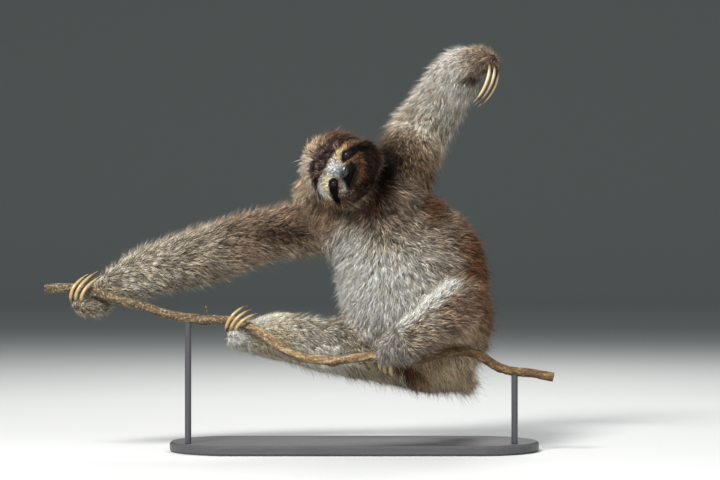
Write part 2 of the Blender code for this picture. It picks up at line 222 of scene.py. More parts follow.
# %% [markdown]
# ## Landmarks of the body
#
# Everything that follows needs to know where the joints and the face are. The solid model has a node
# for each part of the body, and two neighbours meet at a thin cut, so the middle of the vertices on
# that cut is the joint. The head has a frame of its own: its X runs to the animal's left through the
# eyes, its Y points back and its Z up the face. The nose lies a known step forward of and below the
# eyes, and that fixes the tilt.


# %% Points, joints and the head's frame
def points_of(mesh):
    """A mesh's vertices as rows of x, y, z."""
    flat = np.empty(len(mesh.vertices) * 3, np.float32)
    mesh.vertices.foreach_get("co", flat)
    return flat.reshape(-1, 3).astype(float)


def set_points(mesh, points):
    """Moves a mesh's vertices to these rows of x, y, z."""
    mesh.vertices.foreach_set("co", np.asarray(points, np.float32).ravel())
    mesh.update()


def unit(vectors):
    """Vectors made one long."""
    vectors = np.asarray(vectors, float)
    return vectors / np.maximum(np.linalg.norm(vectors, axis=-1, keepdims=True), 1e-9)


def smooth_step(low, high, x):
    """0 below low, 1 above high and a soft ramp between; low may be the larger."""
    t = np.clip((x - low) / (high - low), 0, 1)
    return t * t * (3 - 2 * t)


def hump(x, middle, width):
    """1 where x is middle, fading out over about one width on either side."""
    return np.exp(-(((x - middle) / width) ** 2))


def surfaces_of(names):
    """The corners and faces of these nodes together, and which of the nodes each face is from."""
    corners, faces, owner = [], [], []
    for number, name in enumerate(names):
        mesh = frame["nodes"][name].data
        start = len(corners)
        corners.extend(v.co.copy() for v in mesh.vertices)
        faces.extend([start + v for v in p.vertices] for p in mesh.polygons)
        owner.extend([number] * len(mesh.polygons))
    return corners, faces, owner


def tree_of(*names):
    """A search tree over the surfaces of these nodes."""
    corners, faces, _ = surfaces_of(names)
    return BVHTree.FromPolygons(corners, faces)


def joint(part, neighbour, reach=3 * MM):
    """The middle of the cut between two neighbouring nodes."""
    tree = tree_of(neighbour)
    corners = [v.co for v in frame["nodes"][part].data.vertices]
    near = [corner for corner in corners if (tree.find_nearest(corner)[3] or 1) < reach]
    return np.mean(near, axis=0)


def claw_roots(limb, side):
    """The middle of the three cuts between a hand or foot and its claws."""
    roots = [joint(f"claw_{limb}_{side}_{i}", f"{limb}_{side}") for i in (1, 2, 3)]
    return np.mean(roots, axis=0)


def middle(node):
    """The middle of a node's box."""
    low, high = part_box(node)
    return np.array((low + high) / 2)


joints = {}
for side in ("left", "right"):
    joints["shoulder_" + side] = joint("upper_arm_" + side, "trunk" if side == "left" else "neck")
    joints["elbow_" + side] = joint("forearm_" + side, "upper_arm_" + side)
    joints["wrist_" + side] = joint("hand_" + side, "forearm_" + side)
    joints["fingers_" + side] = claw_roots("hand", side)
    joints["hip_" + side] = joint("thigh_" + side, "trunk")
    joints["knee_" + side] = joint("shin_" + side, "thigh_" + side)
    joints["ankle_" + side] = joint("foot_" + side, "shin_" + side)
    joints["toes_" + side] = claw_roots("foot", side)
for name, place in joints.items():
    print(f"{name:16s}", place.round(3))

NOSE_REACH, NOSE_DROP = 20.2, 12.0
eye_left, eye_right, nose_middle = middle("eye_left"), middle("eye_right"), middle("nose")
face_origin = (eye_left + eye_right) / 2
face_x = unit(eye_left - eye_right)
to_nose = nose_middle - face_origin
to_nose = unit(to_nose - face_x * (to_nose @ face_x))
droop = math.atan2(NOSE_DROP, NOSE_REACH)
forward = math.cos(droop) * to_nose + math.sin(droop) * unit(np.cross(to_nose, face_x))
face_axes = np.array([face_x, -forward, np.cross(forward, face_x)])
EYE_SPREAD = np.linalg.norm(eye_left - eye_right) / MM / 2


def face_of(points):
    """World points as x, y, z in the head's own frame, in millimetres."""
    return (np.asarray(points) - face_origin) @ face_axes.T / MM


def from_face(local):
    """Head-frame millimetres as world points."""
    return np.asarray(local) * MM @ face_axes + face_origin


print("eyes", round(2 * EYE_SPREAD, 1), "mm apart; the nose is at", face_of(nose_middle).round(1))

# %% [markdown]
# ## One skin under the coat
#
# The solids reach out to the tips of the hair, so the real skin lies deeper. The way to one seamless
# skin is to join copies of the flesh solids, grow them a hair's breadth so the thin cuts close, and
# remesh the lot with a voxel grid. After that every vertex is pulled in along its normal by the coat's
# depth at that place, in small steps with a little smoothing, as one would with a sculpting brush.

# %% Join, close and remesh
VOXEL = 3 * MM
CLOSE_GAPS = 0.5 * MM
SAME_PLACE = 0.01 * MM
NOT_FLESH = ("claw_", "eye_", "stand_", "nose", "vine")
FLESH = sorted(n for n in frame["nodes"] if not n.startswith(NOT_FLESH))
copies = []
for node in FLESH:
    copy = bpy.data.objects.new("flesh_" + node, frame["nodes"][node].data.copy())
    bpy.context.scene.collection.objects.link(copy)
    on_whole_mesh(copy, (bpy.ops.mesh.remove_doubles, {"threshold": SAME_PLACE}))
    normals = np.array([v.normal for v in copy.data.vertices])
    set_points(copy.data, points_of(copy.data) + normals * CLOSE_GAPS)
    copies.append(copy)
activate(copies[0])
for copy in copies:
    copy.select_set(True)
bpy.ops.object.join()
skin = bpy.context.object
skin.name = "skin"
skin.data.name = "skin"
remesh = skin.modifiers.new("remesh", "REMESH")
remesh.mode = "VOXEL"
remesh.voxel_size = VOXEL
apply_modifiers(skin)
seed = int(np.argmax(points_of(skin.data)[:, 2]))
pick(skin, lambda v: v.index == seed, "vertices")
edit(skin, "VERT")
bpy.ops.mesh.select_linked()
bpy.ops.mesh.select_all(action="INVERT")
bpy.ops.mesh.delete(type="VERT")
done(skin)
print("skin after remeshing:", len(skin.data.polygons), "faces")

# %% Finer faces where the face is
FACE_HALF_WIDTH, FACE_TOP, FACE_BOTTOM, FACE_BACK = 46, 38, -44, 22
LID_REACH = 12


def refine(obj, wanted, cuts):
    """Subdivides the faces whose middles, in the head's frame, satisfy wanted."""
    centres = np.array([p.center for p in obj.data.polygons])
    chosen = wanted(face_of(centres))
    pick(obj, lambda p: chosen[p.index])
    edit(obj)
    bpy.ops.mesh.subdivide(number_cuts=cuts)
    bpy.ops.mesh.select_all(action="SELECT")
    bpy.ops.mesh.quads_convert_to_tris(quad_method="BEAUTY", ngon_method="BEAUTY")
    done(obj)


def near_face(q):
    """True where head-frame points lie on the front of the head."""
    return (
        (np.abs(q[:, 0]) < FACE_HALF_WIDTH)
        & (q[:, 2] < FACE_TOP)
        & (q[:, 2] > FACE_BOTTOM)
        & (q[:, 1] < FACE_BACK)
    )


def near_eyes(q):
    """True where head-frame points lie round an eye."""
    aside = np.abs(q[:, 0]) - EYE_SPREAD
    return np.sqrt(aside**2 + q[:, 2] ** 2 + q[:, 1] ** 2) < LID_REACH


refine(skin, near_face, 2)
refine(skin, near_eyes, 1)
print("skin with a finer face:", len(skin.data.polygons), "faces")


# %% Averages over the skin's edges
def edges_of(mesh):
    """A mesh's edges as pairs of vertex numbers."""
    pairs = np.empty(len(mesh.edges) * 2, np.int32)
    mesh.edges.foreach_get("vertices", pairs)
    return pairs.reshape(-1, 2)


def spread(values, edges, times, share=0.5):
    """Values on vertices, averaged with their neighbours a number of times."""
    values = np.array(values, float)
    flat = values.reshape(len(values), -1)
    one, two = edges[:, 0], edges[:, 1]
    count = np.maximum(np.bincount(edges.ravel(), minlength=len(flat)), 1)
    for _ in range(times):
        for column in range(flat.shape[1]):
            v = flat[:, column]
            total = np.bincount(one, v[two], len(flat)) + np.bincount(two, v[one], len(flat))
            flat[:, column] = v * (1 - share) + share * total / count
    return flat.reshape(values.shape)


def normals_of(mesh):
    """A mesh's vertex normals as rows."""
    flat = np.empty(len(mesh.vertices) * 3, np.float32)
    mesh.vertex_normals.foreach_get("vector", flat)
    return flat.reshape(-1, 3).astype(float)


# %% Which part of the body each vertex belongs to
corners, faces, owner = surfaces_of(FLESH)
body_tree = BVHTree.FromPolygons(corners, faces)
edges = edges_of(skin.data)
outer = spread(points_of(skin.data), edges, 3)
part = np.array([owner[body_tree.find_nearest(Vector(p))[2]] for p in outer])
is_part = {node: part == number for number, node in enumerate(FLESH)}
print("vertices by part:", {node: int(mask.sum()) for node, mask in is_part.items()})

# %% Pull the skin in by the coat's depth
DEPTH_MM = {
    "neck": 11, "trunk": 10, "tail": 9,
    "upper_arm": 9, "forearm": 8.5, "hand": 4.2,
    "thigh": 8.5, "shin": 8, "foot": 4.2,
}
HOOD_DEPTH, FACE_DEPTH = 7, 2.2
THIN_SHARE, THIN_START, THIN_END = 0.42, 0.015, 0.085
SHRINK_STEPS = 8


def by_part(table, default=0.0):
    """One number for each vertex from a table keyed by the part's name without its side."""
    values = np.full(len(part), float(default))
    for node, mask in is_part.items():
        values[mask] = table.get(node.replace("_left", "").replace("_right", ""), default)
    return values


local = face_of(outer)
face_radius = np.hypot(local[:, 0], local[:, 2] + 3)
hood = np.maximum(smooth_step(36, 50, face_radius), smooth_step(8, 26, local[:, 1]))
depth = by_part(DEPTH_MM)
depth[is_part["head"]] = (FACE_DEPTH + (HOOD_DEPTH - FACE_DEPTH) * hood)[is_part["head"]]
for side in ("left", "right"):
    for limb, start in (("forearm_", "wrist_"), ("shin_", "ankle_")):
        gap = np.linalg.norm(outer - joints[start + side], axis=1)
        here = is_part[limb + side]
        thinner = THIN_SHARE + (1 - THIN_SHARE) * smooth_step(THIN_START, THIN_END, gap)
        depth[here] *= thinner[here]
depth = spread(depth, edges, 25)
depth = np.where(is_part["head"] & (hood < 0.02), FACE_DEPTH, depth)
points = outer.copy()
for _ in range(SHRINK_STEPS):
    set_points(skin.data, points)
    normals = spread(normals_of(skin.data), edges, 2)
    points = points - unit(normals) * depth[:, None] * MM / SHRINK_STEPS
    points = spread(points, edges, 1, 0.25)
set_points(skin.data, points)
print("coat depth from", depth.min().round(1), "to", depth.max().round(1), "mm")

# %% [markdown]
# ## The face
#
# A sloth's face is small and flat, with eyes that sit in dark slanting stripes, a short broad muzzle
# and a mouth that turns up at the corners. All of it is moved in code on the skin's fine vertices, in
# the head's frame: a shallow socket along each stripe, a brow above it, lids that hug the eyeball
# round an almond-shaped opening, a bed for the nose, and the groove of the mouth.

# %% Stripes, brow, lids, nose bed and mouth
EYE_RADIUS = float(np.ptp(face_of(points_of(frame["nodes"]["eye_left"].data))[:, 0])) / 2
STRIPE_LEFT = [(14.5, 0.8), (20, -1.4), (25, -2.4), (31, -5), (36, -10), (39, -16), (40, -22)]
STRIPE_RIGHT = [(-17.5, -1.5), (-22, -2.3), (-29, -2.8), (-36, -6.5), (-41, -12.5)]
STRIPE_HALF_WIDTH = 7.2
STRIPE_ENDS = 0.38
TAPER_LEFT, TAPER_RIGHT = 0.5, 0.15
SOCKET_DEPTH = 1.3
BROW_LINE = [(9, 11), (20, 11), (30, 8.5), (38, 2)]
BROW_HEIGHT, BROW_WIDTH = 1.6, 4.0
MOUTH_Z, MOUTH_CURL, MOUTH_HALF_WIDTH, MOUTH_DEPTH = -23.5, 0.016, 17, 2.0
LIP_DROP, LIP_HEIGHT = 3.2, 0.8
NOSE_BED_DEPTH, NOSE_RIM_HEIGHT = 1.6, 0.7
LID_GAP, LID_RIM = 0.5, 0.9
OPENING_LONG, OPENING_TALL, OPENING_TILT = 5.3, 3.4, math.radians(-16)
EYE_TURN, EYE_LIFT = 0.30, 0.02


def line_distance(x, z, line):
    """Distance from points to a bent line, and how far along it, 0 to 1, the nearest place is."""
    line = np.array(line, float)
    best = np.full(len(x), 1e9)
    along = np.zeros(len(x))
    lengths = np.linalg.norm(np.diff(line, axis=0), axis=1)
    done_so_far = np.concatenate([[0], np.cumsum(lengths)]) / lengths.sum()
    for i in range(len(line) - 1):
        step = line[i + 1] - line[i]
        t = np.clip(((x - line[i, 0]) * step[0] + (z - line[i, 1]) * step[1]) / (step @ step), 0, 1)
        distance = np.hypot(x - line[i, 0] - t * step[0], z - line[i, 1] - t * step[1])
        nearer = distance < best
        best = np.where(nearer, distance, best)
        along = np.where(nearer, done_so_far[i] + t * (done_so_far[i + 1] - done_so_far[i]), along)
    return best, along


def stripe_mask(q, soft=1.5, grow=0.0):
    """1 inside the dark eye stripes, 0 outside, on both sides of the face."""
    inside = np.zeros(len(q))
    for line, taper in ((STRIPE_LEFT, TAPER_LEFT), (STRIPE_RIGHT, TAPER_RIGHT)):
        distance, along = line_distance(q[:, 0], q[:, 2], line)
        swell = np.sin(np.pi * np.clip(along * 0.86 + 0.07, 0, 1)) ** STRIPE_ENDS
        half = STRIPE_HALF_WIDTH * swell + grow
        half = half * (1 - taper * smooth_step(0.25, 0.85, along))
        inside = np.maximum(inside, smooth_step(half + soft, half - soft, distance))
    return inside * smooth_step(34, 24, q[:, 1])


q = face_of(points_of(skin.data))
on_face = is_part["head"] & (q[:, 1] < FACE_BACK)
x, z = q[:, 0], q[:, 2]
move = np.zeros_like(q)
move[:, 1] += SOCKET_DEPTH * stripe_mask(q, 2.5)
brow_distance, _ = line_distance(np.abs(x), z, BROW_LINE)
move[:, 1] -= BROW_HEIGHT * hump(brow_distance, 0, BROW_WIDTH)
mouth_line = MOUTH_Z + MOUTH_CURL * x**2
corner_fade = smooth_step(MOUTH_HALF_WIDTH + 3, MOUTH_HALF_WIDTH - 3, np.abs(x))
move[:, 1] += MOUTH_DEPTH * hump(z, mouth_line, 1.3) * corner_fade
move[:, 1] -= LIP_HEIGHT * hump(z, mouth_line - LIP_DROP, 2.2) * smooth_step(16, 6, np.abs(x))
nose_q = face_of(nose_middle)
nose_gap = np.hypot((x - nose_q[0]) / 9.0, (z - nose_q[2]) / 6.6)
move[:, 1] += NOSE_BED_DEPTH * smooth_step(1.05, 0.75, nose_gap)
move[:, 1] -= NOSE_RIM_HEIGHT * hump(nose_gap, 1.2, 0.16)
q = q + move * on_face[:, None]
for side in (1, -1):
    eye = face_of(eye_left if side > 0 else eye_right)
    offset = q - eye
    distance = np.linalg.norm(offset, axis=1)
    aim_out = unit(np.array([side * EYE_TURN, -1.0, EYE_LIFT]))
    across = unit(np.cross(aim_out, [0, 0, 1])) * -side
    a = offset @ across
    b = offset[:, 2]
    long_way = a * math.cos(OPENING_TILT) + b * math.sin(OPENING_TILT)
    tall_way = -a * math.sin(OPENING_TILT) + b * math.cos(OPENING_TILT)
    almond = np.abs(tall_way) / OPENING_TALL + (long_way / OPENING_LONG) ** 2
    ahead = (offset @ aim_out) > -1.5
    near = on_face & (distance < EYE_RADIUS + 5) & ahead
    hug = smooth_step(EYE_RADIUS + 5, EYE_RADIUS + 1.0, distance)
    lid_radius = EYE_RADIUS + LID_GAP + LID_RIM * hump(almond, 1.25, 0.35)
    lid_radius = np.where(almond < 1, EYE_RADIUS - 1.6, lid_radius)
    hugged = np.maximum(lid_radius, distance * (1 - hug) + lid_radius * hug)
    wanted = np.where(almond < 1, lid_radius, hugged)
    within = np.hypot(long_way, tall_way) < EYE_RADIUS + 2.5
    scale = np.where(near & within, wanted / np.maximum(distance, 0.1), 1)
    q = eye + offset * scale[:, None]
points = from_face(q)
set_points(skin.data, points)
activate(skin)
bpy.ops.object.shade_smooth()
print("face vertices:", int(on_face.sum()), "eye radius:", round(EYE_RADIUS, 2), "mm")

# %% [markdown]
# ## Which way the hair lies
#
# A sloth hangs upside down, so its hair is combed from the belly towards the back and from the hands
# and feet towards the body. On the chest the hair starts from a whorl and runs out and down on every
# side. On the head a hood of longer hair stands up along the middle of the crown and runs down both
# sides to the chin, and the short hairs of the face point away from the nose. At the hands and feet
# some fur is combed on over the roots of the claws. Each rule is a function of position. The rules are
# laid on their own parts, averaged over the skin so they flow into each other, and pressed flat on the
# surface.

# %% Comb
WHORL = (0.343, 0.0, 0.774)
CHEST = (0.405, 0.0, 0.615)
trunk_low, trunk_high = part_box("trunk")
whorl = np.array(trunk_low) + np.array(trunk_high - trunk_low) * np.array(WHORL)
chest = np.array(trunk_low) + np.array(trunk_high - trunk_low) * np.array(CHEST)
DOWN = np.array([0, 0, -1.0])
points = points_of(skin.data)
normals = unit(spread(normals_of(skin.data), edges, 3))
comb = np.zeros_like(points)


def lay(name, direction):
    """Sets the comb on one part of the body."""
    mask = is_part[name]
    comb[mask] = unit(np.broadcast_to(direction, points.shape))[mask]


def along(start, end):
    """The direction from one joint to another."""
    return unit(joints[end] - joints[start])


away = points - whorl
above = smooth_step(-0.03, 0.03, away[:, 2])[:, None]
radial = unit(away * [1.0, 0.6, 1.0]) + [0.10, 0.30, -0.12]
upper_chest = unit(away * [1.0, 0.3, 0.0]) * 0.7 + [0.1, 0.3, -0.8]
front_lie = radial * (1 - above) + upper_chest * above
back = smooth_step(-0.1, 0.5, normals[:, 1])[:, None]
side_sign = np.sign(away[:, :1] + 0.02)
back_lie = np.concatenate([-0.5 * side_sign, np.zeros_like(side_sign), np.full_like(side_sign, -0.9)], 1)
for name in ("trunk", "neck"):
    lay(name, front_lie * (1 - back) + back_lie * back)
lay("tail", [0.75, 0.3, -0.55])
for side in ("left", "right"):
    upper = along("elbow_" + side, "shoulder_" + side)
    lower = along("wrist_" + side, "elbow_" + side)
    hanging = np.clip(0.55 - 0.5 * normals[:, 2:3], 0.05, 1.1)
    lay("hand_" + side, along("fingers_" + side, "wrist_" + side) + 0.1 * DOWN)
    lay("forearm_" + side, lower + DOWN * 0.55 * hanging)
    lay("upper_arm_" + side, upper + DOWN * 0.75 * hanging)
lay("hand_left", along("fingers_left", "wrist_left") * 0.4 + along("wrist_left", "elbow_left"))
fan = smooth_step(-0.2, 0.8, normals[:, :1])
lay("upper_arm_left", along("elbow_left", "shoulder_left") + DOWN * 0.3 + fan * [0.5, 0.2, 0.0])
lay("thigh_left", along("knee_left", "hip_left") * 0.5 + np.array([0.55, 0.55, -0.45]))
lay("shin_left", along("ankle_left", "knee_left") * 0.75 + np.array([0.55, 0.25, -0.35]))
lay("foot_left", along("toes_left", "ankle_left") * 0.3 + np.array([0.25, 0.3, -0.75]))
lay("thigh_right", along("knee_right", "hip_right") + np.array([0.0, 0.3, -0.6]))
lay("shin_right", along("ankle_right", "knee_right") + np.array([0.0, 0.2, -0.55]))
lay("foot_right", along("toes_right", "ankle_right") + np.array([0.0, 0.15, -0.2]))

q = face_of(points)
from_nose = q - [0, 0, -7]
out_of_nose = from_nose * [1, 0, 1] + [0, 4, 0]
ring_x = q[:, 0]
ring_z = q[:, 2] + 3
side_of_face = np.where(ring_x >= 0, 1.0, -1.0)
round_ring = np.stack([side_of_face * ring_z, np.zeros(len(q)), -np.abs(ring_x)], 1)
round_ring = unit(round_ring) + [0, 0.25, 0]
crown = (smooth_step(34, 8, np.abs(ring_x)) * smooth_step(10, 30, ring_z))[:, None]
round_ring = round_ring * (1 - crown) + np.array([0, 0.5, 1.0]) * crown
behind = smooth_step(2, 30, q[:, 1])[:, None]
back_of_head = np.stack([side_of_face * 0.35, np.full(len(q), 0.5), np.full(len(q), -0.9)], 1)
ringed = smooth_step(30, 43, np.hypot(ring_x, ring_z))[:, None]
head_lie = unit(out_of_nose) * (1 - ringed) + unit(round_ring) * ringed
head_lie = head_lie * (1 - behind) + back_of_head * behind
chin = smooth_step(-16, -30, q[:, 2])[:, None] * (1 - behind)
head_lie = head_lie * (1 - 0.7 * chin) + chin * 0.7 * np.array([0, 0.5, -1.0])
lay("head", head_lie @ face_axes)


def press_flat(directions):
    """Directions laid in the skin's own surface, one long."""
    return unit(directions - normals * (directions * normals).sum(1, keepdims=True))


keep_face = (is_part["head"] & (ringed[:, 0] < 0.5) & (q[:, 1] < 14))[:, None]
smoothed = press_flat(comb)
for _ in range(6):
    smoothed = press_flat(spread(smoothed, edges, 5))
comb = np.where(keep_face, press_flat(spread(press_flat(comb), edges, 4)), smoothed)
FUR_OVER_CLAW, CLAW_ROOT = 14 * MM, 15 * MM
for node in (n for n in frame["nodes"] if n.startswith("claw_")):
    _, limb, side, _ = node.split("_")
    claw_points = points_of(frame["nodes"][node].data)
    base = joint(node, f"{limb}_{side}")
    first_part = np.linalg.norm(claw_points - base, axis=1) < CLAW_ROOT
    onward = unit(claw_points[first_part].mean(axis=0) - base)
    pull = smooth_step(FUR_OVER_CLAW, 4 * MM, np.linalg.norm(points - base, axis=1))[:, None]
    comb = press_flat(comb * (1 - pull) + onward * pull)
print("the whorl is at", whorl.round(3))

# %% [markdown]
# ## Markings
#
# The coat is one set of colours, worked out once on the skin and used by the skin and by every tuft
# that grows from it. Each limb runs from a pale wrist or ankle to a browner shoulder or hip. The belly
# is cream-grey, the flanks and throat are brown, the left shin has a pale ridge, and the face has a pale
# mask with a cream brow and dark stripes and lids. Light and shade are painted in as well: near-black
# shade in the armpit, on the throat, the chin and the left jaw, shade in the fold of the left wrist and
# on one side of the raised forearm, light on the undersides of the legs, on the seat and on the belly's
# right edge, and a highlight along the pale ridge of the left leg. Slow noise breaks the borders up,
# because no animal is painted with a ruler.


# %% Colours along the limbs
def paint(red, green, blue):
    """An everyday 0 to 255 colour as the linear numbers that the shaders use."""
    c = np.array([red, green, blue]) / 255
    return np.where(c <= 0.04045, c / 12.92, ((c + 0.055) / 1.055) ** 2.4)


LIMBS = {  # colour at the far end, colour at the body end
    "hand_left": (paint(92, 76, 62), paint(150, 134, 118)),
    "forearm_left": (paint(232, 223, 208), paint(206, 190, 168)),
    "upper_arm_left": (paint(160, 144, 126), paint(96, 78, 60)),
    "hand_right": (paint(150, 140, 124), paint(144, 134, 116)),
    "forearm_right": (paint(170, 160, 143), paint(138, 126, 110)),
    "upper_arm_right": (paint(130, 113, 97), paint(122, 103, 86)),
    "foot_left": (paint(142, 134, 126), paint(158, 152, 144)),
    "shin_left": (paint(136, 122, 106), paint(124, 104, 87)),
    "thigh_left": (paint(142, 119, 97), paint(100, 74, 57)),
    "foot_right": (paint(222, 218, 206), paint(198, 182, 146)),
    "shin_right": (paint(162, 155, 144), paint(150, 140, 124)),
    "thigh_right": (paint(142, 130, 112), paint(124, 108, 88)),
}
ENDS = {
    "hand": ("fingers", "wrist"), "forearm": ("wrist", "elbow"), "upper_arm": ("elbow", "shoulder"),
    "foot": ("toes", "ankle"), "shin": ("ankle", "knee"), "thigh": ("knee", "hip"),
}
tint = np.tile(paint(104, 90, 74), (len(points), 1))
for node, (far_colour, near_colour) in LIMBS.items():
    kind, side = node.rsplit("_", 1)
    start, end = (joints[f"{e}_{side}"] for e in ENDS[kind])
    t = np.clip(((points - start) @ (end - start)) / ((end - start) @ (end - start)), 0, 1)[:, None]
    tint[is_part[node]] = (far_colour * (1 - t) + near_colour * t)[is_part[node]]
tint[is_part["neck"]] = paint(112, 94, 76)
tint[is_part["tail"]] = paint(156, 138, 112)
tint = spread(tint, edges, 60)
print("limbs coloured:", len(LIMBS))


# %% Marks on the trunk and the limbs
def blot(colour, weight):
    """Lays an everyday colour over the markings where weight, 0 to 1, says."""
    global tint
    tint = tint * (1 - weight[:, None]) + paint(*colour) * weight[:, None]


def patch(centre, radii, sharp=1.5):
    """1 at centre, fading to 0 across an ellipsoid; all in millimetres from the chest."""
    d = ((points - chest) / MM - centre) / radii
    return np.exp(-((d**2).sum(1) ** sharp))


def mark(where, colour, centre, radii, sharp, strength):
    """A soft-edged ellipsoid of colour on one part of the body."""
    blot(colour, where * patch(centre, radii, sharp) * strength)


def softly(*nodes, times=8):
    """1 on these parts of the body and 0 elsewhere, with a soft border."""
    mask = np.any([is_part[node] for node in nodes], axis=0)
    return spread(mask.astype(float), edges, times)


def under(high, low):
    """1 on the skin that faces down, with a soft border between these two heights of the normal."""
    return smooth_step(high, low, normals[:, 2])


low_noise = np.array([noise.noise(Vector(p) * 28) for p in points])
fine_noise = np.array([noise.noise(Vector(p) * 110) for p in points])
front = smooth_step(0.45, -0.25, normals[:, 1])
trunk = softly("trunk", "neck")
arm_left, arm_right = softly("upper_arm_left"), softly("upper_arm_right")
belly = trunk * front
throat = (trunk + arm_left) * front
blot((124, 108, 90), belly)
mark(belly, (230, 225, 213), (-12, 0, -66), (88, 200, 92), 1.3, 1)  # the pale belly
mark(belly, (206, 202, 191), (-60, 0, 0), (30, 200, 36), 1.5, 0.9)  # right side of the chest
mark(belly, (252, 247, 236), (-60, 0, -48), (20, 200, 44), 1.5, 0.75)  # painted light on the belly's right edge
mark(belly, (124, 103, 85), (-84, 0, 36), (30, 200, 29), 1.5, 0.95)  # below the right shoulder
mark(belly, (134, 121, 105), (4, 0, 8), (34, 200, 15), 1.5, 0.75)  # middle of the chest
mark(trunk, (96, 62, 39), (136, 0, -20), (36, 200, 112), 2, 0.94)  # the brown flank
mark(belly, (110, 94, 78), (6, 0, 34), (60, 200, 22), 1.5, 0.7)  # collar
mark(belly, (66, 46, 37), (-26, 0, 56), (50, 200, 20), 1.5, 0.9)  # under the chin
mark(throat, (38, 22, 16), (-4, 0, 108), (26, 400, 40), 2, 0.98)  # the dark throat, its brown fur deepened by painted shade between head and arm
mark(belly, (166, 147, 120), (100, 0, -160), (90, 200, 34), 1.5, 1)  # rump
# Pale hair on the left leg's ridge, brightened as a painted highlight where the skin faces up and to the
# animal's right.
ridge = smooth_step(0.5, 0.95, normals @ unit(np.array([-0.62, -0.25, 0.75])))
blot((220, 216, 205), ridge * softly("shin_left", "thigh_left", times=4) * 0.95)
mark(throat, (66, 35, 25), (-14, 0, 92), (18, 400, 44), 2, 0.85)  # redder middle of the throat
shoulder = np.clip(trunk + arm_left, 0, 1)
mark(shoulder, (82, 53, 33), (71, 0, 62), (22, 400, 31), 2, 0.9)  # between shoulder and flank
mark(belly, (172, 158, 142), (90, 0, -20), (20, 400, 13), 2, 0.7)  # pale edge of the flank
neck_side = (trunk + arm_right) * front
mark(neck_side, (196, 168, 144), (-114, 0, 78), (15, 400, 18), 2, 0.85)  # pale side of the neck
mark(neck_side, (68, 47, 35), (-84, 0, 64), (20, 400, 7), 2, 0.85)  # the shade under it
# Near-black painted shade in the armpit, between the head and the raised arm.
armpit_middle = chest + np.array([0.004, 0.0, 0.116])
armpit_gap = np.linalg.norm((points - armpit_middle) * [1, 0.05, 0.62], axis=1)
blot((20, 12, 9), np.exp(-((armpit_gap / 0.029) ** 3)) * 0.98)
mark(front, (236, 194, 152), (96, 0, -176), (54, 400, 24), 2, 0.9)  # painted light on the seat, which faces down
mark(front, (64, 31, 20), (26, 0, -171), (38, 400, 18), 2, 0.93)  # red shade under the thigh
# Painted light on the down-facing side of the right shin.
blot((244, 230, 206), front * is_part["shin_right"] * under(0.3, -0.4) * 0.9)
mark(front * is_part["foot_right"], (208, 182, 130), (-158, 0, -127), (24, 400, 18), 2, 0.6)  # heel
# Painted light on the down-facing side of the right thigh.
blot((206, 188, 160), front * is_part["thigh_right"] * under(0.3, -0.4) * 0.7)
blot((176, 160, 138), is_part["upper_arm_right"] * under(-0.3, -0.85) * 0.4)
mark(front * arm_right, (44, 30, 22), (-136, 0, 22), (44, 200, 15), 1.5, 0.92)  # under the right arm
mark(front * is_part["shin_left"], (176, 164, 148), (62, 0, -98), (16, 400, 12), 2, 0.7)  # shin
# Painted light on the down-facing side of the left thigh.
blot((210, 180, 150), front * is_part["thigh_left"] * under(0.3, -0.5) * 0.7)
leg_left = (is_part["thigh_left"] | is_part["shin_left"]) * smooth_step(0.6, 0.1, normals[:, 1])
mark(leg_left, (116, 94, 74), (124, 0, -40), (24, 400, 15), 2, 0.75)  # the knee
mark(leg_left, (90, 60, 42), (150, 0, -84), (25, 400, 72), 2, 0.9)  # outer edge of the thigh
wrist_left = softly("hand_left", "forearm_left", times=3)
mark(wrist_left, (44, 30, 22), (119, 0, 237), (16, 400, 7), 2, 0.9)  # painted shade in the fold of the left wrist
# Painted shade on the side of the raised forearm that faces the animal's left, away from the key light.
blot((140, 127, 111), is_part["forearm_left"] * smooth_step(0.1, 0.7, normals[:, 0]) * 0.55)
back_side = smooth_step(0.15, 0.7, normals[:, 1]) * trunk
blot((120, 106, 88), back_side * 0.8)
blot((160, 148, 128), back_side * smooth_step(0.12, 0.4, low_noise) * 0.7)
blot((70, 54, 40), back_side * hump(points[:, 0], chest[0], 0.012) * 0.5)
tint *= (1 + 0.22 * low_noise + 0.10 * fine_noise)[:, None]
print("body marked, cream vertices:", int((tint[:, 0] > 0.5).sum()))

# %% Marks on the head
LID_DARK = 2.6
PALE_TOP = [(-36.5, 10.5), (-33, 14), (-14, 12), (2, 11), (14, 9)]
CREAM_BROW = [(-20, 7), (-29, 8.5), (-34, 7), (-36.5, 4)]
MASK_RIM = [(-37, 20), (-43.5, 13.5), (-48, 4), (-47, -6)]
CHEEK = [(22, -12), (24, -17), (21, -25), (14, -31), (5, -35)]
CHEEK_RIGHT = [(-12, -13), (-19, -15), (-26, -17)]
UNDER_STRIPE = [(12, -3), (17, -9), (24, -11.5), (31, -15)]
MOUTH_SHADE = [(12, -13), (6, -22), (-6, -24), (-12, -21)]

q = face_of(points)
y = q[:, 1]
ragged = np.array([noise.noise_vector(Vector(p) * 160) for p in points])
mottle = np.array([noise.noise(Vector(p) * 130 + Vector((5, 0, 0))) for p in points])
x, z = q[:, 0] + 1.6 * ragged[:, 0], q[:, 2] + 1.6 * ragged[:, 2]
head = softly("head", times=6)
front_of_head = head * smooth_step(30, 18, y)
radius = np.hypot(x, z + 3)


def oval(centre, radii, power):
    """1 inside an oval of the face, fading out at its edge."""
    across, up = (x - centre[0]) / radii[0], (z - centre[1]) / radii[1]
    return np.exp(-(np.hypot(across, up) ** (2 * power)))


def band(line, half_width, soft):
    """1 within half_width of a bent line on the face, fading out at its edge."""
    distance, _ = line_distance(x, z, line)
    return smooth_step(half_width + soft, half_width - soft, distance)


def where_all(*ramps):
    """1 on the head where every ramp, a low, a high and the values it reads, is up."""
    weight = head
    for low, high, values in ramps:
        weight = weight * smooth_step(low, high, values)
    return weight


def on_front(colour, shape):
    """Lays a shape of colour on the front of the head."""
    blot(colour, front_of_head * shape)


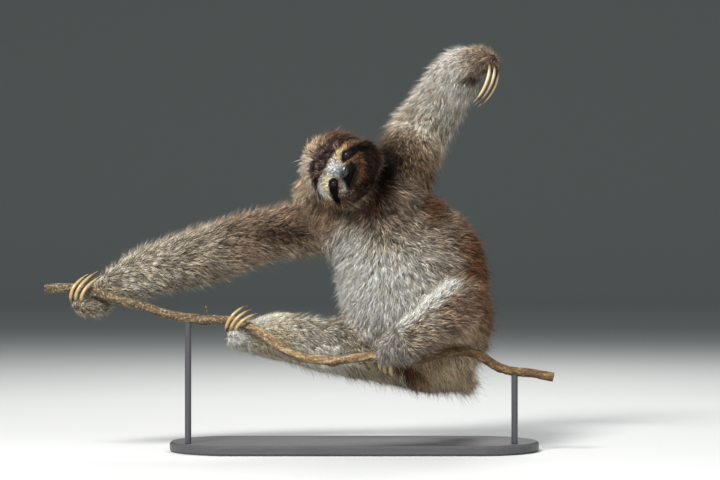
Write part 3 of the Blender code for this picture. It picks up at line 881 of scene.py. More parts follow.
blot((148, 128, 106), head)
grizzled = where_all((34, 22, y), (54, 46, radius), (22, 28, radius))
blot((84, 61, 46), where_all((14, 34, x), (-34, -14, z), (70, 36, y)))  # hood, left
blot((122, 98, 78), where_all((-20, -36, x), (-40, -10, z), (70, 40, y)))  # hood, right
blot((214, 188, 162), where_all((-20, -36, x), (2, 22, z), (60, 30, y)))  # its pale top
blot((88, 69, 55), where_all((10, 26, x), (14, -8, z), (80, 50, y)) * 0.9)  # left cheek's hood
blot((158, 134, 112), where_all((42, 50, z), (60, 26, y), (30, 14, x)))  # crown
blot((236, 211, 187), where_all((38, 48, z), (60, 30, y), (4, -14, x)) * 0.9)  # its lit rim
blot((176, 138, 98), where_all((34, 44, -x), (-10, 4, z), (34, 18, z)) * 0.8)  # right temple
forehead = where_all((34, 20, y), (51, 44, radius), (4, 16, z))
blot((50, 38, 34), forehead)
blot((26, 19, 17), forehead * smooth_step(0.0, 0.35, mottle) * 0.85)
blot((104, 88, 80), forehead * smooth_step(-0.12, -0.45, mottle) * 0.55)
blot((50, 35, 28), where_all((36, 20, y), (-8, -22, z), (-52, -30, x)))  # jaw
# The dark chin: dark brown fur, deepened to near black as painted shade under the head towards the
# raised arm.
dark_chin_and_shade = where_all((-26, -42, z + 0.35 * x), (-16, 8, x), (62, 40, y))
blot((22, 13, 10), dark_chin_and_shade * 0.95)
# Near-black painted shade on the left jaw, between the head and the raised arm.
left_jaw_shade = where_all((33, 40, radius), (10, 26, x), (4, -14, z), (42, 24, y))
blot((30, 18, 14), left_jaw_shade * 0.95)
on_front((78, 62, 50), oval((-24, -25), (15, 8), 3) * 0.85)
on_front((80, 64, 40), oval((4, -29), (13, 6), 3) * 0.85)
cheek_edge = smooth_step(30, 36, radius) * smooth_step(4, 20, x) * smooth_step(4, -8, z)
on_front((38, 25, 19), cheek_edge * 0.8)
on_front((82, 48, 27), band(CHEEK, 2.8, 2.6) * (0.8 + 0.5 * mottle))
on_front((164, 160, 152), band(CHEEK_RIGHT, 3.6, 3.0) * 0.8)
on_front((104, 70, 42), band(UNDER_STRIPE, 1.8, 1.2) * 0.8)
on_front((22, 18, 19), oval((0, -14), (12, 9.5), 3))  # muzzle
pale_top = band(PALE_TOP, 6.6, 2.0)
on_front((156, 146, 134), pale_top * (0.9 + 0.3 * mottle))
on_front((248, 236, 214), pale_top * smooth_step(-16, -30, x) * 0.85)
on_front((255, 232, 180), band(CREAM_BROW, 5.0, 1.6))
blot((46, 31, 24), head * band(MASK_RIM, 2.6, 2.0) * 0.85)
on_front((112, 86, 60), oval((24, 8), (14, 7.5), 3))  # over the left eye
on_front((176, 158, 122), oval((18.5, 9.0), (8, 5.2), 2.0) * 0.9)
on_front((172, 174, 174), oval((-4, 4.5), (12, 11.5), 3) * (0.92 + 0.25 * mottle))  # bridge
on_front((124, 130, 142), oval((-1, -2.5), (9, 5), 3) * 0.85)
on_front((16, 10, 9), band(MOUTH_SHADE, 5.2, 2.2) * 0.95)
on_front((5, 3, 3), stripe_mask(np.stack([x, y, z], 1), 1.2, 0.5))
for eye in (eye_left, eye_right):
    lid_gap = np.linalg.norm(points - eye, axis=1) / MM - EYE_RADIUS - LID_DARK
    on_front((14, 10, 9), smooth_step(1, -0.6, lid_gap))
tint = np.clip(tint, 0.002, 1)
print("markings cover", len(tint), "vertices")

# %% [markdown]
# ## The skin's map and its material
#
# The exporter bakes each piece's colours to an image, and for that it wants a map named OFBake. The
# skin is unwrapped by its own shape. The tufts need a second unwrap, one for each piece of the coat,
# which is made later from the same faces. The skin's material only has to look like the shade between
# the tufts, so it takes the markings from an attribute, darkens them as painted shade, and adds a fine
# bump.

# %% Attributes and unwrap
# The skin is darkened as painted shade between the tufts, less on the bare face.
GAP_SHADE, FACE_GAP_SHADE = 0.22, 0.5


def store_colour(mesh, name, colours):
    """Keeps linear colours on a mesh's vertices."""
    layer = mesh.color_attributes.new(name, "FLOAT_COLOR", "POINT")
    rgba = np.ones((len(colours), 4), np.float32)
    rgba[:, :3] = colours
    layer.data.foreach_set("color", rgba.ravel())


bare = front_of_head * smooth_step(32, 24, radius)
gap_shade = GAP_SHADE + (FACE_GAP_SHADE - GAP_SHADE) * bare
store_colour(skin.data, "markings", tint * gap_shade[:, None])
smart = {"angle_limit": math.radians(66), "island_margin": 0.001}
on_whole_mesh(skin, (bpy.ops.uv.smart_project, smart))
skin.data.uv_layers[0].name = "OFBake"
print("skin mapped:", len(skin.data.polygons), "faces")


# %% Helpers for materials
def new_material(name, settings):
    """A material whose Principled shader has these inputs set, and that shader."""
    material = bpy.data.materials.new(name)
    material.use_nodes = True
    shader = material.node_tree.nodes["Principled BSDF"]
    for key, value in settings.items():
        shader.inputs[key].default_value = value
    return material, shader


def link(material, output, target):
    """Joins an output socket to an input socket."""
    material.node_tree.links.new(output, target)


def add_node(material, kind, **values):
    """A node with some of its properties or inputs set."""
    node = material.node_tree.nodes.new(kind)
    for key, value in values.items():
        if key in node.inputs:
            node.inputs[key].default_value = value
        else:
            setattr(node, key, value)
    return node


def on_object(material, kind, stretch=None, **values):
    """A node that reads the object's own coordinates, stretched when that is asked for."""
    place = add_node(material, "ShaderNodeTexCoord").outputs["Object"]
    if stretch:
        mapping = add_node(material, "ShaderNodeMapping", Scale=stretch)
        link(material, place, mapping.inputs["Vector"])
        place = mapping.outputs["Vector"]
    node = add_node(material, kind, **values)
    link(material, place, node.inputs["Vector"])
    return node


def kept_colour(material, name):
    """The colours kept on the mesh under this name."""
    return add_node(material, "ShaderNodeAttribute", attribute_name=name).outputs["Color"]


def ramp(material, value, low, high, places=(0, 1)):
    """A value turned into a colour between low and high."""
    node = add_node(material, "ShaderNodeValToRGB")
    for element, colour, place in zip(node.color_ramp.elements, (low, high), places):
        element.position = place
        element.color = (*colour, 1)
    link(material, value, node.inputs["Fac"])
    return node.outputs["Color"]


def to_range(material, value, old, new):
    """A value moved from one range to another."""
    node = add_node(material, "ShaderNodeMapRange")
    for socket, number in zip(("From Min", "From Max", "To Min", "To Max"), (*old, *new)):
        node.inputs[socket].default_value = number
    link(material, value, node.inputs["Value"])
    return node.outputs["Result"]


def multiplied(material, one, two):
    """One colour multiplied by another."""
    node = add_node(material, "ShaderNodeMix", data_type="RGBA", blend_type="MULTIPLY")
    node.inputs[0].default_value = 1
    link(material, one, node.inputs[6])
    link(material, two, node.inputs[7])
    return node.outputs[2]


def fine_surface(material, shader, height, strength, distance):
    """Raises the surface a little where height is large."""
    bump = add_node(material, "ShaderNodeBump", Strength=strength, Distance=distance)
    link(material, height, bump.inputs["Height"])
    link(material, bump.outputs["Normal"], shader.inputs["Normal"])


print("helpers for materials are ready")

# %% Materials that read the markings
skin_settings = {"Roughness": 0.85, "Specular IOR Level": 0.15}
skin_material, shader = new_material("down_and_skin", skin_settings)
link(skin_material, kept_colour(skin_material, "markings"), shader.inputs["Base Color"])
grain = on_object(skin_material, "ShaderNodeTexNoise", Scale=900, Detail=3)
fine_surface(skin_material, shader, grain.outputs["Fac"], 0.5, 0.0006)
skin.data.materials.clear()
skin.data.materials.append(skin_material)

coat_settings = {"Roughness": 0.7, "Specular IOR Level": 0.08}
coat_material, shader = new_material("hair", coat_settings)
link(coat_material, kept_colour(coat_material, "markings"), shader.inputs["Base Color"])
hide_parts(*FLESH)
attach(skin, "root")
print("materials:", skin_material.name, coat_material.name)

# %% [markdown]
# ## The coat
#
# Real fur has far too many hairs to model, so each tuft is a thin closed spindle, a lock of a few
# hairs: one point at the root, a ring of three a third of the way along, and one point at the tip. It
# leans along the comb and stands up just enough that its tip reaches the true outline. Each tuft has
# its own length, width and shade. Neighbours lean together into locks, and inside a lock a few tufts
# close up into a strand that shares one shade, because even a perfect comb looks like plastic when
# every hair obeys it.

# %% Length, width and thickness of the coat
LENGTH_MM = {
    "neck": 19, "trunk": 19, "tail": 26, "upper_arm": 18, "forearm": 16.5, "hand": 10,
    "thigh": 18, "shin": 16, "foot": 9,
}
WIDTH_MM = {
    "neck": 0.95, "trunk": 0.98, "tail": 0.95, "upper_arm": 0.95, "forearm": 0.9, "hand": 0.75,
    "thigh": 0.95, "shin": 0.92, "foot": 0.75,
}
THICKNESS = {"hand": 2.2, "foot": 2.2, "tail": 1.3, "neck": 1.1}
HOOD_LENGTH, FACE_LENGTH = 12, 4.0
BACK_OF_HEAD_EXTRA, RUMP_EXTRA = 6, 8
SHORTER_AT_NOSE = 0.35
HOOD_WIDTH, FACE_WIDTH = 0.85, 0.68
HOOD_THICK, FACE_THICK = 1.9, 4.3
TUFTS = 240000

length = by_part(LENGTH_MM)
width = by_part(WIDTH_MM)
thick = by_part(THICKNESS, 1.0)
rump = patch((124, 0, -182), (40, 400, 26), 2) * smooth_step(0.6, 0.1, normals[:, 1])
length += RUMP_EXTRA * rump
on_head = is_part["head"]
back_hair = smooth_step(5, 30, y) * BACK_OF_HEAD_EXTRA
hood = np.maximum(smooth_step(34, 46, radius), smooth_step(10, 26, y))
length[on_head] = (FACE_LENGTH + (HOOD_LENGTH - FACE_LENGTH) * hood + back_hair)[on_head]
width[on_head] = (FACE_WIDTH + (HOOD_WIDTH - FACE_WIDTH) * hood)[on_head]
thick[on_head] = (FACE_THICK + (HOOD_THICK - FACE_THICK) * hood)[on_head]
length = spread(length, edges, 14)
width = spread(width, edges, 14)
face_core = on_head & (hood < 0.05)
around_nose = hump(np.hypot(x - nose_q[0], z - nose_q[2]), 0, 14)
length[face_core] = (FACE_LENGTH * (1 - SHORTER_AT_NOSE * around_nose))[face_core]
width[face_core] = FACE_WIDTH
print("hair from", length.min().round(1), "to", length.max().round(1), "mm long")

# %% Places that stay bare
BARE_ROUND_EYE = (2.2, 1.2)
BARE_NOSE_HALF = (8.7, 6.4)
FOOT_OVER_CLAWS, HAIR_AT_CLAWS, CLAW_SHADOW = 13, 6.5, 14
HAIR_AT_VINE, VINE_SHADOW = 4.5, 16


def gap_to(*names):
    """How far each vertex is from these nodes, in millimetres."""
    tree = tree_of(*names)
    return np.array([(tree.find_nearest(Vector(p))[3] or 1) for p in points]) / MM


eye_bare = np.zeros(len(points))
for eye in (eye_left, eye_right):
    gap = np.linalg.norm(points - eye, axis=1) / MM - EYE_RADIUS
    eye_bare = np.maximum(eye_bare, smooth_step(*BARE_ROUND_EYE, gap))
across, up = (x - nose_q[0]) / BARE_NOSE_HALF[0], (z - nose_q[2]) / BARE_NOSE_HALF[1]
nose_bare = smooth_step(1.15, 1.0, np.hypot(across, up)) * smooth_step(2, -4, y)
thick *= 1 - np.maximum(eye_bare, nose_bare * on_head)
claw_gap = gap_to(*[n for n in frame["nodes"] if n.startswith("claw_")])
near_claws = claw_gap < CLAW_SHADOW
length[is_part["foot_left"]] = FOOT_OVER_CLAWS
near_limit = np.where(is_part["foot_left"], FOOT_OVER_CLAWS, HAIR_AT_CLAWS) + 0.4 * claw_gap
length = np.where(near_claws, np.minimum(length, near_limit), length)
vine_gap = gap_to("vine")
near_limit = np.minimum(length, HAIR_AT_VINE + 0.5 * vine_gap)
length = np.where(vine_gap < VINE_SHADOW, near_limit, length)
print("vertices near the claws:", int(near_claws.sum()))

# %% Scatter the roots
mesh = skin.data
mesh.calc_loop_triangles()
triangles = np.empty(len(mesh.loop_triangles) * 3, np.int32)
mesh.loop_triangles.foreach_get("vertices", triangles)
triangles = triangles.reshape(-1, 3)
a, b, c = (points[triangles[:, i]] for i in range(3))
area = np.linalg.norm(np.cross(b - a, c - a), axis=1) / 2
weight = area * thick[triangles].mean(axis=1)
chosen = random.choice(len(triangles), TUFTS, p=weight / weight.sum())
r1 = np.sqrt(random.random(TUFTS))
r2 = random.random(TUFTS)
share = np.stack([1 - r1, r1 * (1 - r2), r1 * r2], 1)


def at_roots(values):
    """Values on the skin's vertices, read at the tufts' roots."""
    values = np.asarray(values, float)
    picked = values[triangles[chosen]]
    if values.ndim == 1:
        return (picked * share).sum(1)
    return (picked * share[:, :, None]).sum(1)


root = at_roots(points)
normal = unit(at_roots(normals))
lie = unit(at_roots(comb))
print("tufts:", TUFTS, "on", round(area.sum() * 1e4), "square centimetres")

# %% Locks
LOCK_SPACING = 8
SWIRL = 0.24
JITTER = 0.30
STRAYS = 0.15
CURL = 0.11
LOCK_TONE, LOCK_LIFT = 0.13, 0.10
LOCK_PULL = 0.18
CALM_ON_HOOD = 0.6
LENGTH_RANGE, LIFT_RANGE, STRAY_LIFT = (0.62, 1.22), (0.66, 1.14), (0.15, 0.8)
LIFT_LIMITS, DEPTH_TO_LENGTH = (0.08, 1.15), (0.12, 0.62)


def search_tree(places):
    """A tree that finds the nearest of these places."""
    tree = KDTree(len(places))
    for i, place in enumerate(places):
        tree.insert(place, i)
    tree.balance()
    return tree


def nearest_of(tree, places):
    """The number of the nearest place in the tree for each of these places."""
    return np.array([tree.find(p)[1] for p in places])


lock_count = int(area.sum() / (LOCK_SPACING * MM) ** 2)
lock_at = random.choice(TUFTS, lock_count, replace=False)
lock_of = nearest_of(search_tree(root[lock_at]), root)
lock_root = root[lock_at][lock_of]
on_hood = at_roots(head)
calm = 1 - CALM_ON_HOOD * on_hood
lock_tone = 1 + random.normal(0, LOCK_TONE, lock_count)[lock_of] * calm
lock_sway = random.normal(0, SWIRL, lock_count)[lock_of] * calm
lock_lift = random.normal(0, LOCK_LIFT, lock_count)[lock_of]
side_way = unit(np.cross(normal, lie))
waves = np.array([noise.noise(Vector(p) * 55) for p in root])
tuft_length = at_roots(length) * random.uniform(*LENGTH_RANGE, TUFTS)
coat_depth = at_roots(depth)
short = smooth_step(12, 6, at_roots(length))
sway = lock_sway * (1 - 0.6 * short) + 0.45 * waves + random.normal(0, JITTER, TUFTS)
towards_lock = unit(lock_root + lie * (at_roots(length) * MM)[:, None] - root)
lie = unit(lie + side_way * sway[:, None])
lock_pull = LOCK_PULL * ((1 - 0.7 * short) * (1 - 0.7 * on_hood))[:, None]
lie = unit(lie * (1 - LOCK_PULL) + towards_lock * lock_pull)
lie = unit(lie - normal * (lie * normal).sum(1, keepdims=True))
stray = random.random(TUFTS) < STRAYS * calm
lift = np.arcsin(np.clip(coat_depth / np.maximum(at_roots(length), 1), *DEPTH_TO_LENGTH))
lift = lift * random.uniform(*LIFT_RANGE, TUFTS) + lock_lift * (1 - 0.5 * short)
lift = lift + stray * random.uniform(*STRAY_LIFT, TUFTS) * (1 - 0.8 * short)
lift = np.clip(lift, *LIFT_LIMITS)
tuft_length *= 1 + 0.25 * stray
print("locks:", lock_count)

# %% Strands and the shapes of the tufts
RING_AT = 0.42
FLATNESS = 0.55
ROOT_DEPTH = 0.8 * MM
BOW, HANG, WIDTH_RANGE = 0.10, 0.16, (0.6, 1.3)
STRAND_SHARE, STRAND_PULL, FACE_PULL = 0.38, 0.6, 0.3
RING_ANGLES = np.arange(3) * math.tau / 3 + math.pi / 2
FACETS = np.array([[0, 2, 1], [0, 3, 2], [0, 1, 3], [1, 2, 4], [2, 3, 4], [3, 1, 4]])
direction = lie * np.cos(lift)[:, None] + normal * np.sin(lift)[:, None]
side_way = unit(np.cross(direction, normal))
up_way = np.cross(side_way, direction)
size = (tuft_length * MM)[:, None]
own_width = at_roots(width) * MM * random.uniform(*WIDTH_RANGE, TUFTS)
half = (own_width * (1 - 0.5 * stray) / 2)[:, None]
start = root - normal * ROOT_DEPTH
bow = size * (BOW * np.sin(lift))[:, None]
hang = at_roots(1 - head * 0.8)[:, None] * size * random.uniform(0.0, HANG, (TUFTS, 1))
ring_middle = start + direction * size * RING_AT + up_way * bow * 0.8
ring_middle = ring_middle + side_way * size * random.normal(0, CURL, (TUFTS, 1))
tip = start + direction * size - up_way * bow + DOWN * hang
may_lead = ~stray * (1 - 0.45 * at_roots(front_of_head))
lead_chance = may_lead / may_lead.sum()
strand_at = random.choice(TUFTS, int(TUFTS * STRAND_SHARE), replace=False, p=lead_chance)
strand_of = strand_at[nearest_of(search_tree(root[strand_at]), root)]
pull = ((STRAND_PULL + (FACE_PULL - STRAND_PULL) * short) * ~stray)[:, None]
tip = tip * (1 - pull) + tip[strand_of] * pull
ring_middle = ring_middle * (1 - 0.4 * pull) + ring_middle[strand_of] * 0.4 * pull
corner = [start]
for angle in RING_ANGLES:
    out_of_ring = side_way * math.cos(angle) + up_way * FLATNESS * math.sin(angle)
    corner.append(ring_middle + half * out_of_ring)
corner.append(tip)
corner = np.stack(corner, 1)
print("strands:", len(strand_at))

# %% Shades of the tufts
ROOT_SHADE, RING_SHADE, TIP_SHADE = 0.24, 0.92, 1.5
STRAND_TONE, TUFT_TONE = 0.56, 0.46
WARMTH, TIP_GREY = 0.04, 0.02
strand_tone = random.lognormal(-0.05, STRAND_TONE, TUFTS)[strand_of]
tone = np.clip(lock_tone * strand_tone * random.lognormal(-0.05, TUFT_TONE, TUFTS), 0.36, 3.0)
half_way = root + lie * (at_roots(length) * MM * 0.5)[:, None]
blur = at_roots(2.5 - 1.7 * head)[:, None] * MM
half_way += random.normal(0, 1, (TUFTS, 3)) * blur
own = tint[nearest_of(search_tree(points), half_way)]
grey = own.mean(axis=1, keepdims=True)
warmth = random.normal(0, WARMTH, (TUFTS, 1))[strand_of] * [[1.0, 0.0, -1.2]]
own = np.clip(own * (1 + warmth), 0, 1)
contrast = (1 - 0.1 * at_roots(bare))[:, None]
tone = tone[:, None] ** (1 + 0.5 * at_roots(grizzled)[:, None])
# The roots are darkened as painted shade deep in the coat, a little less on the bare face.
root_tint = own * (ROOT_SHADE + (1 - ROOT_SHADE) * (1 - contrast)) * tone
ring_tint = own * RING_SHADE * tone
tip_tint = own * (1 + (TIP_SHADE - 1) * contrast) * tone + TIP_GREY * contrast * grey
shades = np.stack([root_tint, ring_tint, ring_tint, ring_tint, tip_tint], 1)
shades = np.clip(shades, 0.001, 0.95)
print("mean tone:", tone.mean().round(3))

# %% [markdown]
# The coat is cut into pieces so that each stays light enough to handle. A piece takes the tufts whose
# roots lie on its faces. Its map puts each tuft's colours on a tiny patch, where its root sits on an
# unwrap of those same faces.

# %% Pieces of the coat
PATCH = 0.003
PATCH_SHAPE = np.array([[0.5, 0.0], [0.0, 0.5], [0.5, 0.6], [1.0, 0.5], [0.5, 1.0]]) - 0.5
WAIST_BELOW_CHEST = 0.045
LIMB_PIECES = {
    "hand": "forearm", "forearm": "forearm", "upper_arm": "upper_arm",
    "foot": "shin", "shin": "shin", "thigh": "thigh",
}
middles = points[triangles].mean(axis=1)
triangle_part = part[triangles[:, 0]]
faces_front = normals[triangles].mean(axis=1)[:, 1] < 0.1
above_waist = middles[:, 2] > chest[2] - WAIST_BELOW_CHEST
on_mask = near_face(face_of(middles))
trunk_piece = np.where(
    faces_front,
    np.where(above_waist, "coat_chest", "coat_belly"),
    np.where(above_waist, "coat_back", "coat_rump"),
)
WHOLE_PIECES = {
    "trunk": trunk_piece,
    "tail": np.full(len(middles), "coat_rump"),
    "neck": np.where(faces_front, "coat_throat", "coat_nape"),
    "head": np.where(on_mask, "coat_face", "coat_hood"),
}
piece_of = np.empty(len(triangles), object)
for number, node in enumerate(FLESH):
    here = triangle_part == number
    if node in WHOLE_PIECES:
        piece_of[here] = WHOLE_PIECES[node][here]
    else:
        kind, side = node.rsplit("_", 1)
        piece_of[here] = f"coat_{LIMB_PIECES[kind]}_{side}"
piece_names = sorted(set(piece_of))
print("coat pieces:", piece_names)


# %% Unwrap each piece's faces and build its tufts
def unwrap_piece(faces):
    """The map of these triangles of the skin, unwrapped by their own shape, three corners to a row."""
    used, renumbered = np.unique(triangles[faces], return_inverse=True)
    sheet = bpy.data.meshes.new("unwrap")
    sheet.from_pydata(points[used].tolist(), [], renumbered.reshape(-1, 3).tolist())
    obj = bpy.data.objects.new("unwrap", sheet)
    bpy.context.scene.collection.objects.link(obj)
    smart = {"angle_limit": math.radians(70), "island_margin": 0.004}
    on_whole_mesh(obj, (bpy.ops.uv.smart_project, smart))
    flat = np.empty(len(sheet.loops) * 2, np.float32)
    sheet.uv_layers[0].data.foreach_get("uv", flat)
    bpy.data.objects.remove(obj)
    bpy.data.meshes.remove(sheet)
    return flat.reshape(-1, 3, 2)


def build_tufts(name, tufts, places):
    """One mesh of closed spindles from the arrays above."""
    count = len(tufts)
    ring = corner[tufts].reshape(-1, 3)
    order = (np.arange(count)[:, None, None] * 5 + FACETS[None]).reshape(-1, 3)
    mesh = bpy.data.meshes.new(name)
    mesh.vertices.add(len(ring))
    mesh.vertices.foreach_set("co", ring.astype(np.float32).ravel())
    mesh.loops.add(order.size)
    mesh.loops.foreach_set("vertex_index", order.astype(np.int32).ravel())
    mesh.polygons.add(len(order))
    mesh.polygons.foreach_set("loop_start", np.arange(0, order.size, 3, dtype=np.int32))
    mesh.polygons.foreach_set("use_smooth", np.ones(len(order), bool))
    mesh.update(calc_edges=True)
    store_colour(mesh, "markings", shades[tufts].reshape(-1, 3))
    spots = (places[:, None, :] + PATCH_SHAPE[None] * PATCH).reshape(-1, 2)
    layer = mesh.uv_layers.new(name="OFBake")
    layer.data.foreach_set("uv", np.clip(spots[order.ravel()], 0, 1).astype(np.float32).ravel())
    mesh.materials.append(coat_material)
    obj = bpy.data.objects.new(name, mesh)
    bpy.context.scene.collection.objects.link(obj)
    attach(obj, "root")
    return obj


coat = {}
for name in piece_names:
    faces = np.flatnonzero(piece_of == name)
    row_of = np.full(len(triangles), -1)
    row_of[faces] = np.arange(len(faces))
    tufts = np.flatnonzero(piece_of[chosen] == name)
    maps = unwrap_piece(faces)[row_of[chosen[tufts]]]
    places = (maps * share[tufts][:, :, None]).sum(1)
    coat[name] = build_tufts(name, tufts, places)
    print(f"{name:22s} {len(tufts):6d} tufts {len(coat[name].data.polygons):7d} triangles")

# %% [markdown]
# ## Eyes
#
# A sloth's eye is small, round and almost black, and shows little white. It is a ball with a slightly
# bulging cornea. A sphere is added at the solid's place, and the vertices round its pole, turned to
# look forward, are pushed out. The wet gloss comes from a clear coat over a very dark brown.

# %% Eyeballs
CORNEA = 0.35
eye_settings = {
    "Roughness": 0.08, "Specular IOR Level": 0.15, "Coat Weight": 0.35, "Coat Roughness": 0.03,
}
eye_material, shader = new_material("wet_eye", eye_settings)
where = add_node(eye_material, "ShaderNodeAttribute", attribute_name="iris").outputs["Fac"]
iris = ramp(eye_material, where, (0.014, 0.009, 0.006), (0.002, 0.0015, 0.0015), (0, 0.8))
link(eye_material, iris, shader.inputs["Base Color"])
for side, turn, eye in (("left", EYE_TURN, eye_left), ("right", -EYE_TURN, eye_right)):
    out = unit(np.array([turn, -1.0, EYE_LIFT])) @ face_axes
    bpy.ops.object.select_all(action="DESELECT")
    ball_radius = (EYE_RADIUS - CORNEA) * MM
    bpy.ops.mesh.primitive_uv_sphere_add(segments=48, ring_count=32, radius=ball_radius, location=eye)
    ball = bpy.context.object
    ball.rotation_euler = Vector(out).to_track_quat("Z", "Y").to_euler()
    settle(ball)
    ball.name = "eyeball_" + side
    spots = points_of(ball.data)
    facing_out = unit(spots - eye) @ out
    cornea = smooth_step(0.78, 0.95, facing_out)
    set_points(ball.data, spots + np.outer(cornea * CORNEA * MM, out))
    layer = ball.data.attributes.new("iris", "FLOAT", "POINT")
    layer.data.foreach_set("value", smooth_step(0.80, 0.90, facing_out).astype(np.float32))
    bpy.ops.object.shade_smooth()
    ball.data.materials.append(eye_material)
    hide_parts("eye_" + side)
    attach(ball, "root")
    print(ball.name, len(ball.data.polygons), "faces")

# %% [markdown]
# ## Nose
#
# The nose is a small moist pad with two round nostrils that open to the front and sides, and a groove
# between them. It starts as a sphere, is pressed to the solid's size, and has its nostrils and groove
# pushed in. A fine pebble in the bump and a blue-black colour finish it, with a paler blue on top
# painted as the sky's reflection on the wet pad, and painted shade inside the nostrils.

# %% Nose pad
NOSE_HALF = (9.2, 5.5, 6.8)
NOSTRIL = (4.0, -1.8)
NOSTRIL_DEPTH, NOSTRIL_RIM, GROOVE_DEPTH = 2.6, 0.35, 0.8
nose_settings = {"Roughness": 0.34, "Coat Weight": 0.35, "Coat Roughness": 0.2}
nose_material, shader = new_material("nose_leather", nose_settings)
link(nose_material, kept_colour(nose_material, "pad"), shader.inputs["Base Color"])
pebble = on_object(nose_material, "ShaderNodeTexVoronoi", Scale=1400)
fine_surface(nose_material, shader, pebble.outputs["Distance"], 0.35, 0.0003)
bpy.ops.object.select_all(action="DESELECT")
bpy.ops.mesh.primitive_uv_sphere_add(segments=72, ring_count=48, radius=MM, location=(0, 0, 0))
nose = bpy.context.object
nose.name = "nose_pad"
u = points_of(nose.data) / MM * NOSE_HALF


def nostril_gap(side, wide, tall):
    """Distance from one nostril's middle, 1 at an oval of this half width and half height."""
    return np.hypot((u[:, 0] - side * NOSTRIL[0]) / wide, (u[:, 2] - NOSTRIL[1]) / tall)


u[:, 0] *= 1 + 0.10 * smooth_step(-2, 4, u[:, 2]) - 0.16 * smooth_step(0, -6, u[:, 2])
for side in (1, -1):
    gap = nostril_gap(side, 1.5, 1.15)
    on_front_side = smooth_step(-0.5, -2.5, u[:, 1])
    dent = NOSTRIL_DEPTH * np.exp(-(gap**4)) - NOSTRIL_RIM * hump(gap, 1.35, 0.3)
    u[:, 1] += dent * on_front_side
groove = hump(u[:, 0], 0, 0.7) * smooth_step(0.5, -2.0, u[:, 2]) * smooth_step(-1, -3, u[:, 1])
u[:, 1] += GROOVE_DEPTH * groove
set_points(nose.data, from_face(u + nose_q))
# The pad's top is painted paler blue as a reflection of the sky on the wet pad.
top = smooth_step(0.5, 5.5, u[:, 2])[:, None]
# The nostrils are darkened inside as painted shade in the hollows.
hollow = np.zeros(len(u))
for side in (1, -1):
    inside = np.exp(-(nostril_gap(side, 1.6, 1.25) ** 4)) * smooth_step(0, -2, u[:, 1])
    hollow = np.maximum(hollow, inside)
pad = paint(14, 15, 21) * (1 - top) + paint(76, 81, 95) * top
pad = pad * (1 - hollow[:, None]) + paint(8, 7, 8) * hollow[:, None]
store_colour(nose.data, "pad", pad)
bpy.ops.object.shade_smooth()
nose.data.materials.append(nose_material)
outwards = (bpy.ops.mesh.normals_make_consistent, {"inside": False})
on_whole_mesh(nose, outwards)
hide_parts("nose")
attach(nose, "root")
print("nose pad:", len(nose.data.polygons), "faces")

# %% [markdown]
# ## Claws
#
# Three long curved claws on each hand and foot give the animal its name. The solids already have the
# right curve, so each claw is a copy of its solid, merged and subdivided until it is smooth. How far
# a point lies from the root, and how high on the ridge, is kept as a colour: brown at the root, tan
# along the body and ivory on the ridge and tip.

# %% Claws
CLAW_SWELL, SWELL_FADE = 0.35 * MM, 12 * MM
HORN_TONE = {"hand_left": np.array([1.2, 1.28, 1.45]), "foot_left": np.array([1.5, 1.45, 1.4])}
claw_settings = {"Roughness": 0.36, "Coat Weight": 0.25, "Coat Roughness": 0.25}
claw_material, shader = new_material("claw_horn", claw_settings)
streak = on_object(claw_material, "ShaderNodeTexNoise", Scale=420, Detail=4).outputs["Fac"]
streaks = ramp(claw_material, streak, (0.72, 0.68, 0.60), (1, 1, 1), (0.3, 0.7))
streaked = multiplied(claw_material, kept_colour(claw_material, "horn"), streaks)
link(claw_material, streaked, shader.inputs["Base Color"])
fine_surface(claw_material, shader, streak, 0.25, 0.0003)
weld = (bpy.ops.mesh.remove_doubles, {"threshold": SAME_PLACE})
for node in sorted(n for n in frame["nodes"] if n.startswith("claw_")):
    claw = bpy.data.objects.new(node.replace("claw_", "horn_"), frame["nodes"][node].data.copy())
    bpy.context.scene.collection.objects.link(claw)
    on_whole_mesh(claw, weld, (bpy.ops.mesh.tris_convert_to_quads, {}))
    smooth = claw.modifiers.new("smooth", "SUBSURF")
    smooth.levels = smooth.render_levels = 2
    apply_modifiers(claw)
    _, limb, side, _ = node.split("_")
    home = joints[("fingers_" if limb == "hand" else "toes_") + side]
    spots = points_of(claw.data)
    home_gap = np.linalg.norm(spots - home, axis=1)
    swell = CLAW_SWELL * smooth_step(home_gap.max(), home_gap.max() - SWELL_FADE, home_gap)
    spots = spots + normals_of(claw.data) * swell[:, None]
    set_points(claw.data, spots)
    root_gap = np.linalg.norm(spots - home, axis=1)
    root_gap = (root_gap - root_gap.min()) / np.ptp(root_gap)
    middle_line = spread(spots, edges_of(claw.data), 60)
    chord = (spots[np.argmin(root_gap)] + spots[np.argmax(root_gap)]) / 2
    ridge = unit(spots - middle_line) @ unit(spots.mean(axis=0) - chord)
    ridge = smooth_step(-0.2, 0.8, ridge)[:, None]
    horn = paint(92, 71, 45) * (1 - ridge) + paint(172, 149, 107) * ridge
    horn = horn * HORN_TONE.get(f"{limb}_{side}", 1.0)
    brown = smooth_step(0.22, 0.0, root_gap)[:, None]
    store_colour(claw.data, "horn", horn * (1 - brown) + paint(66, 46, 26) * brown)
    activate(claw)
    bpy.ops.object.shade_smooth()
    claw.data.materials.clear()
    claw.data.materials.append(claw_material)
    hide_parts(node)
    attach(claw, "root")
print("claws: 12, each", len(claw.data.polygons), "faces")

# %% [markdown]
# ## Vine
#
# The sloth holds a woody vine. Its solid is a plain bent tube, and its rings give the route and the
# thickness. A new tube follows the same route with many more rings, and a short bare twig stands up
# from it. Its vertices are moved out and in: long ridges that twist round the stem, a knob here and
# there, and flat cut ends. The bark is bleached in the middle and darkened on either side by painted
# shade, and is redder towards one end, with pale flecks of lichen.

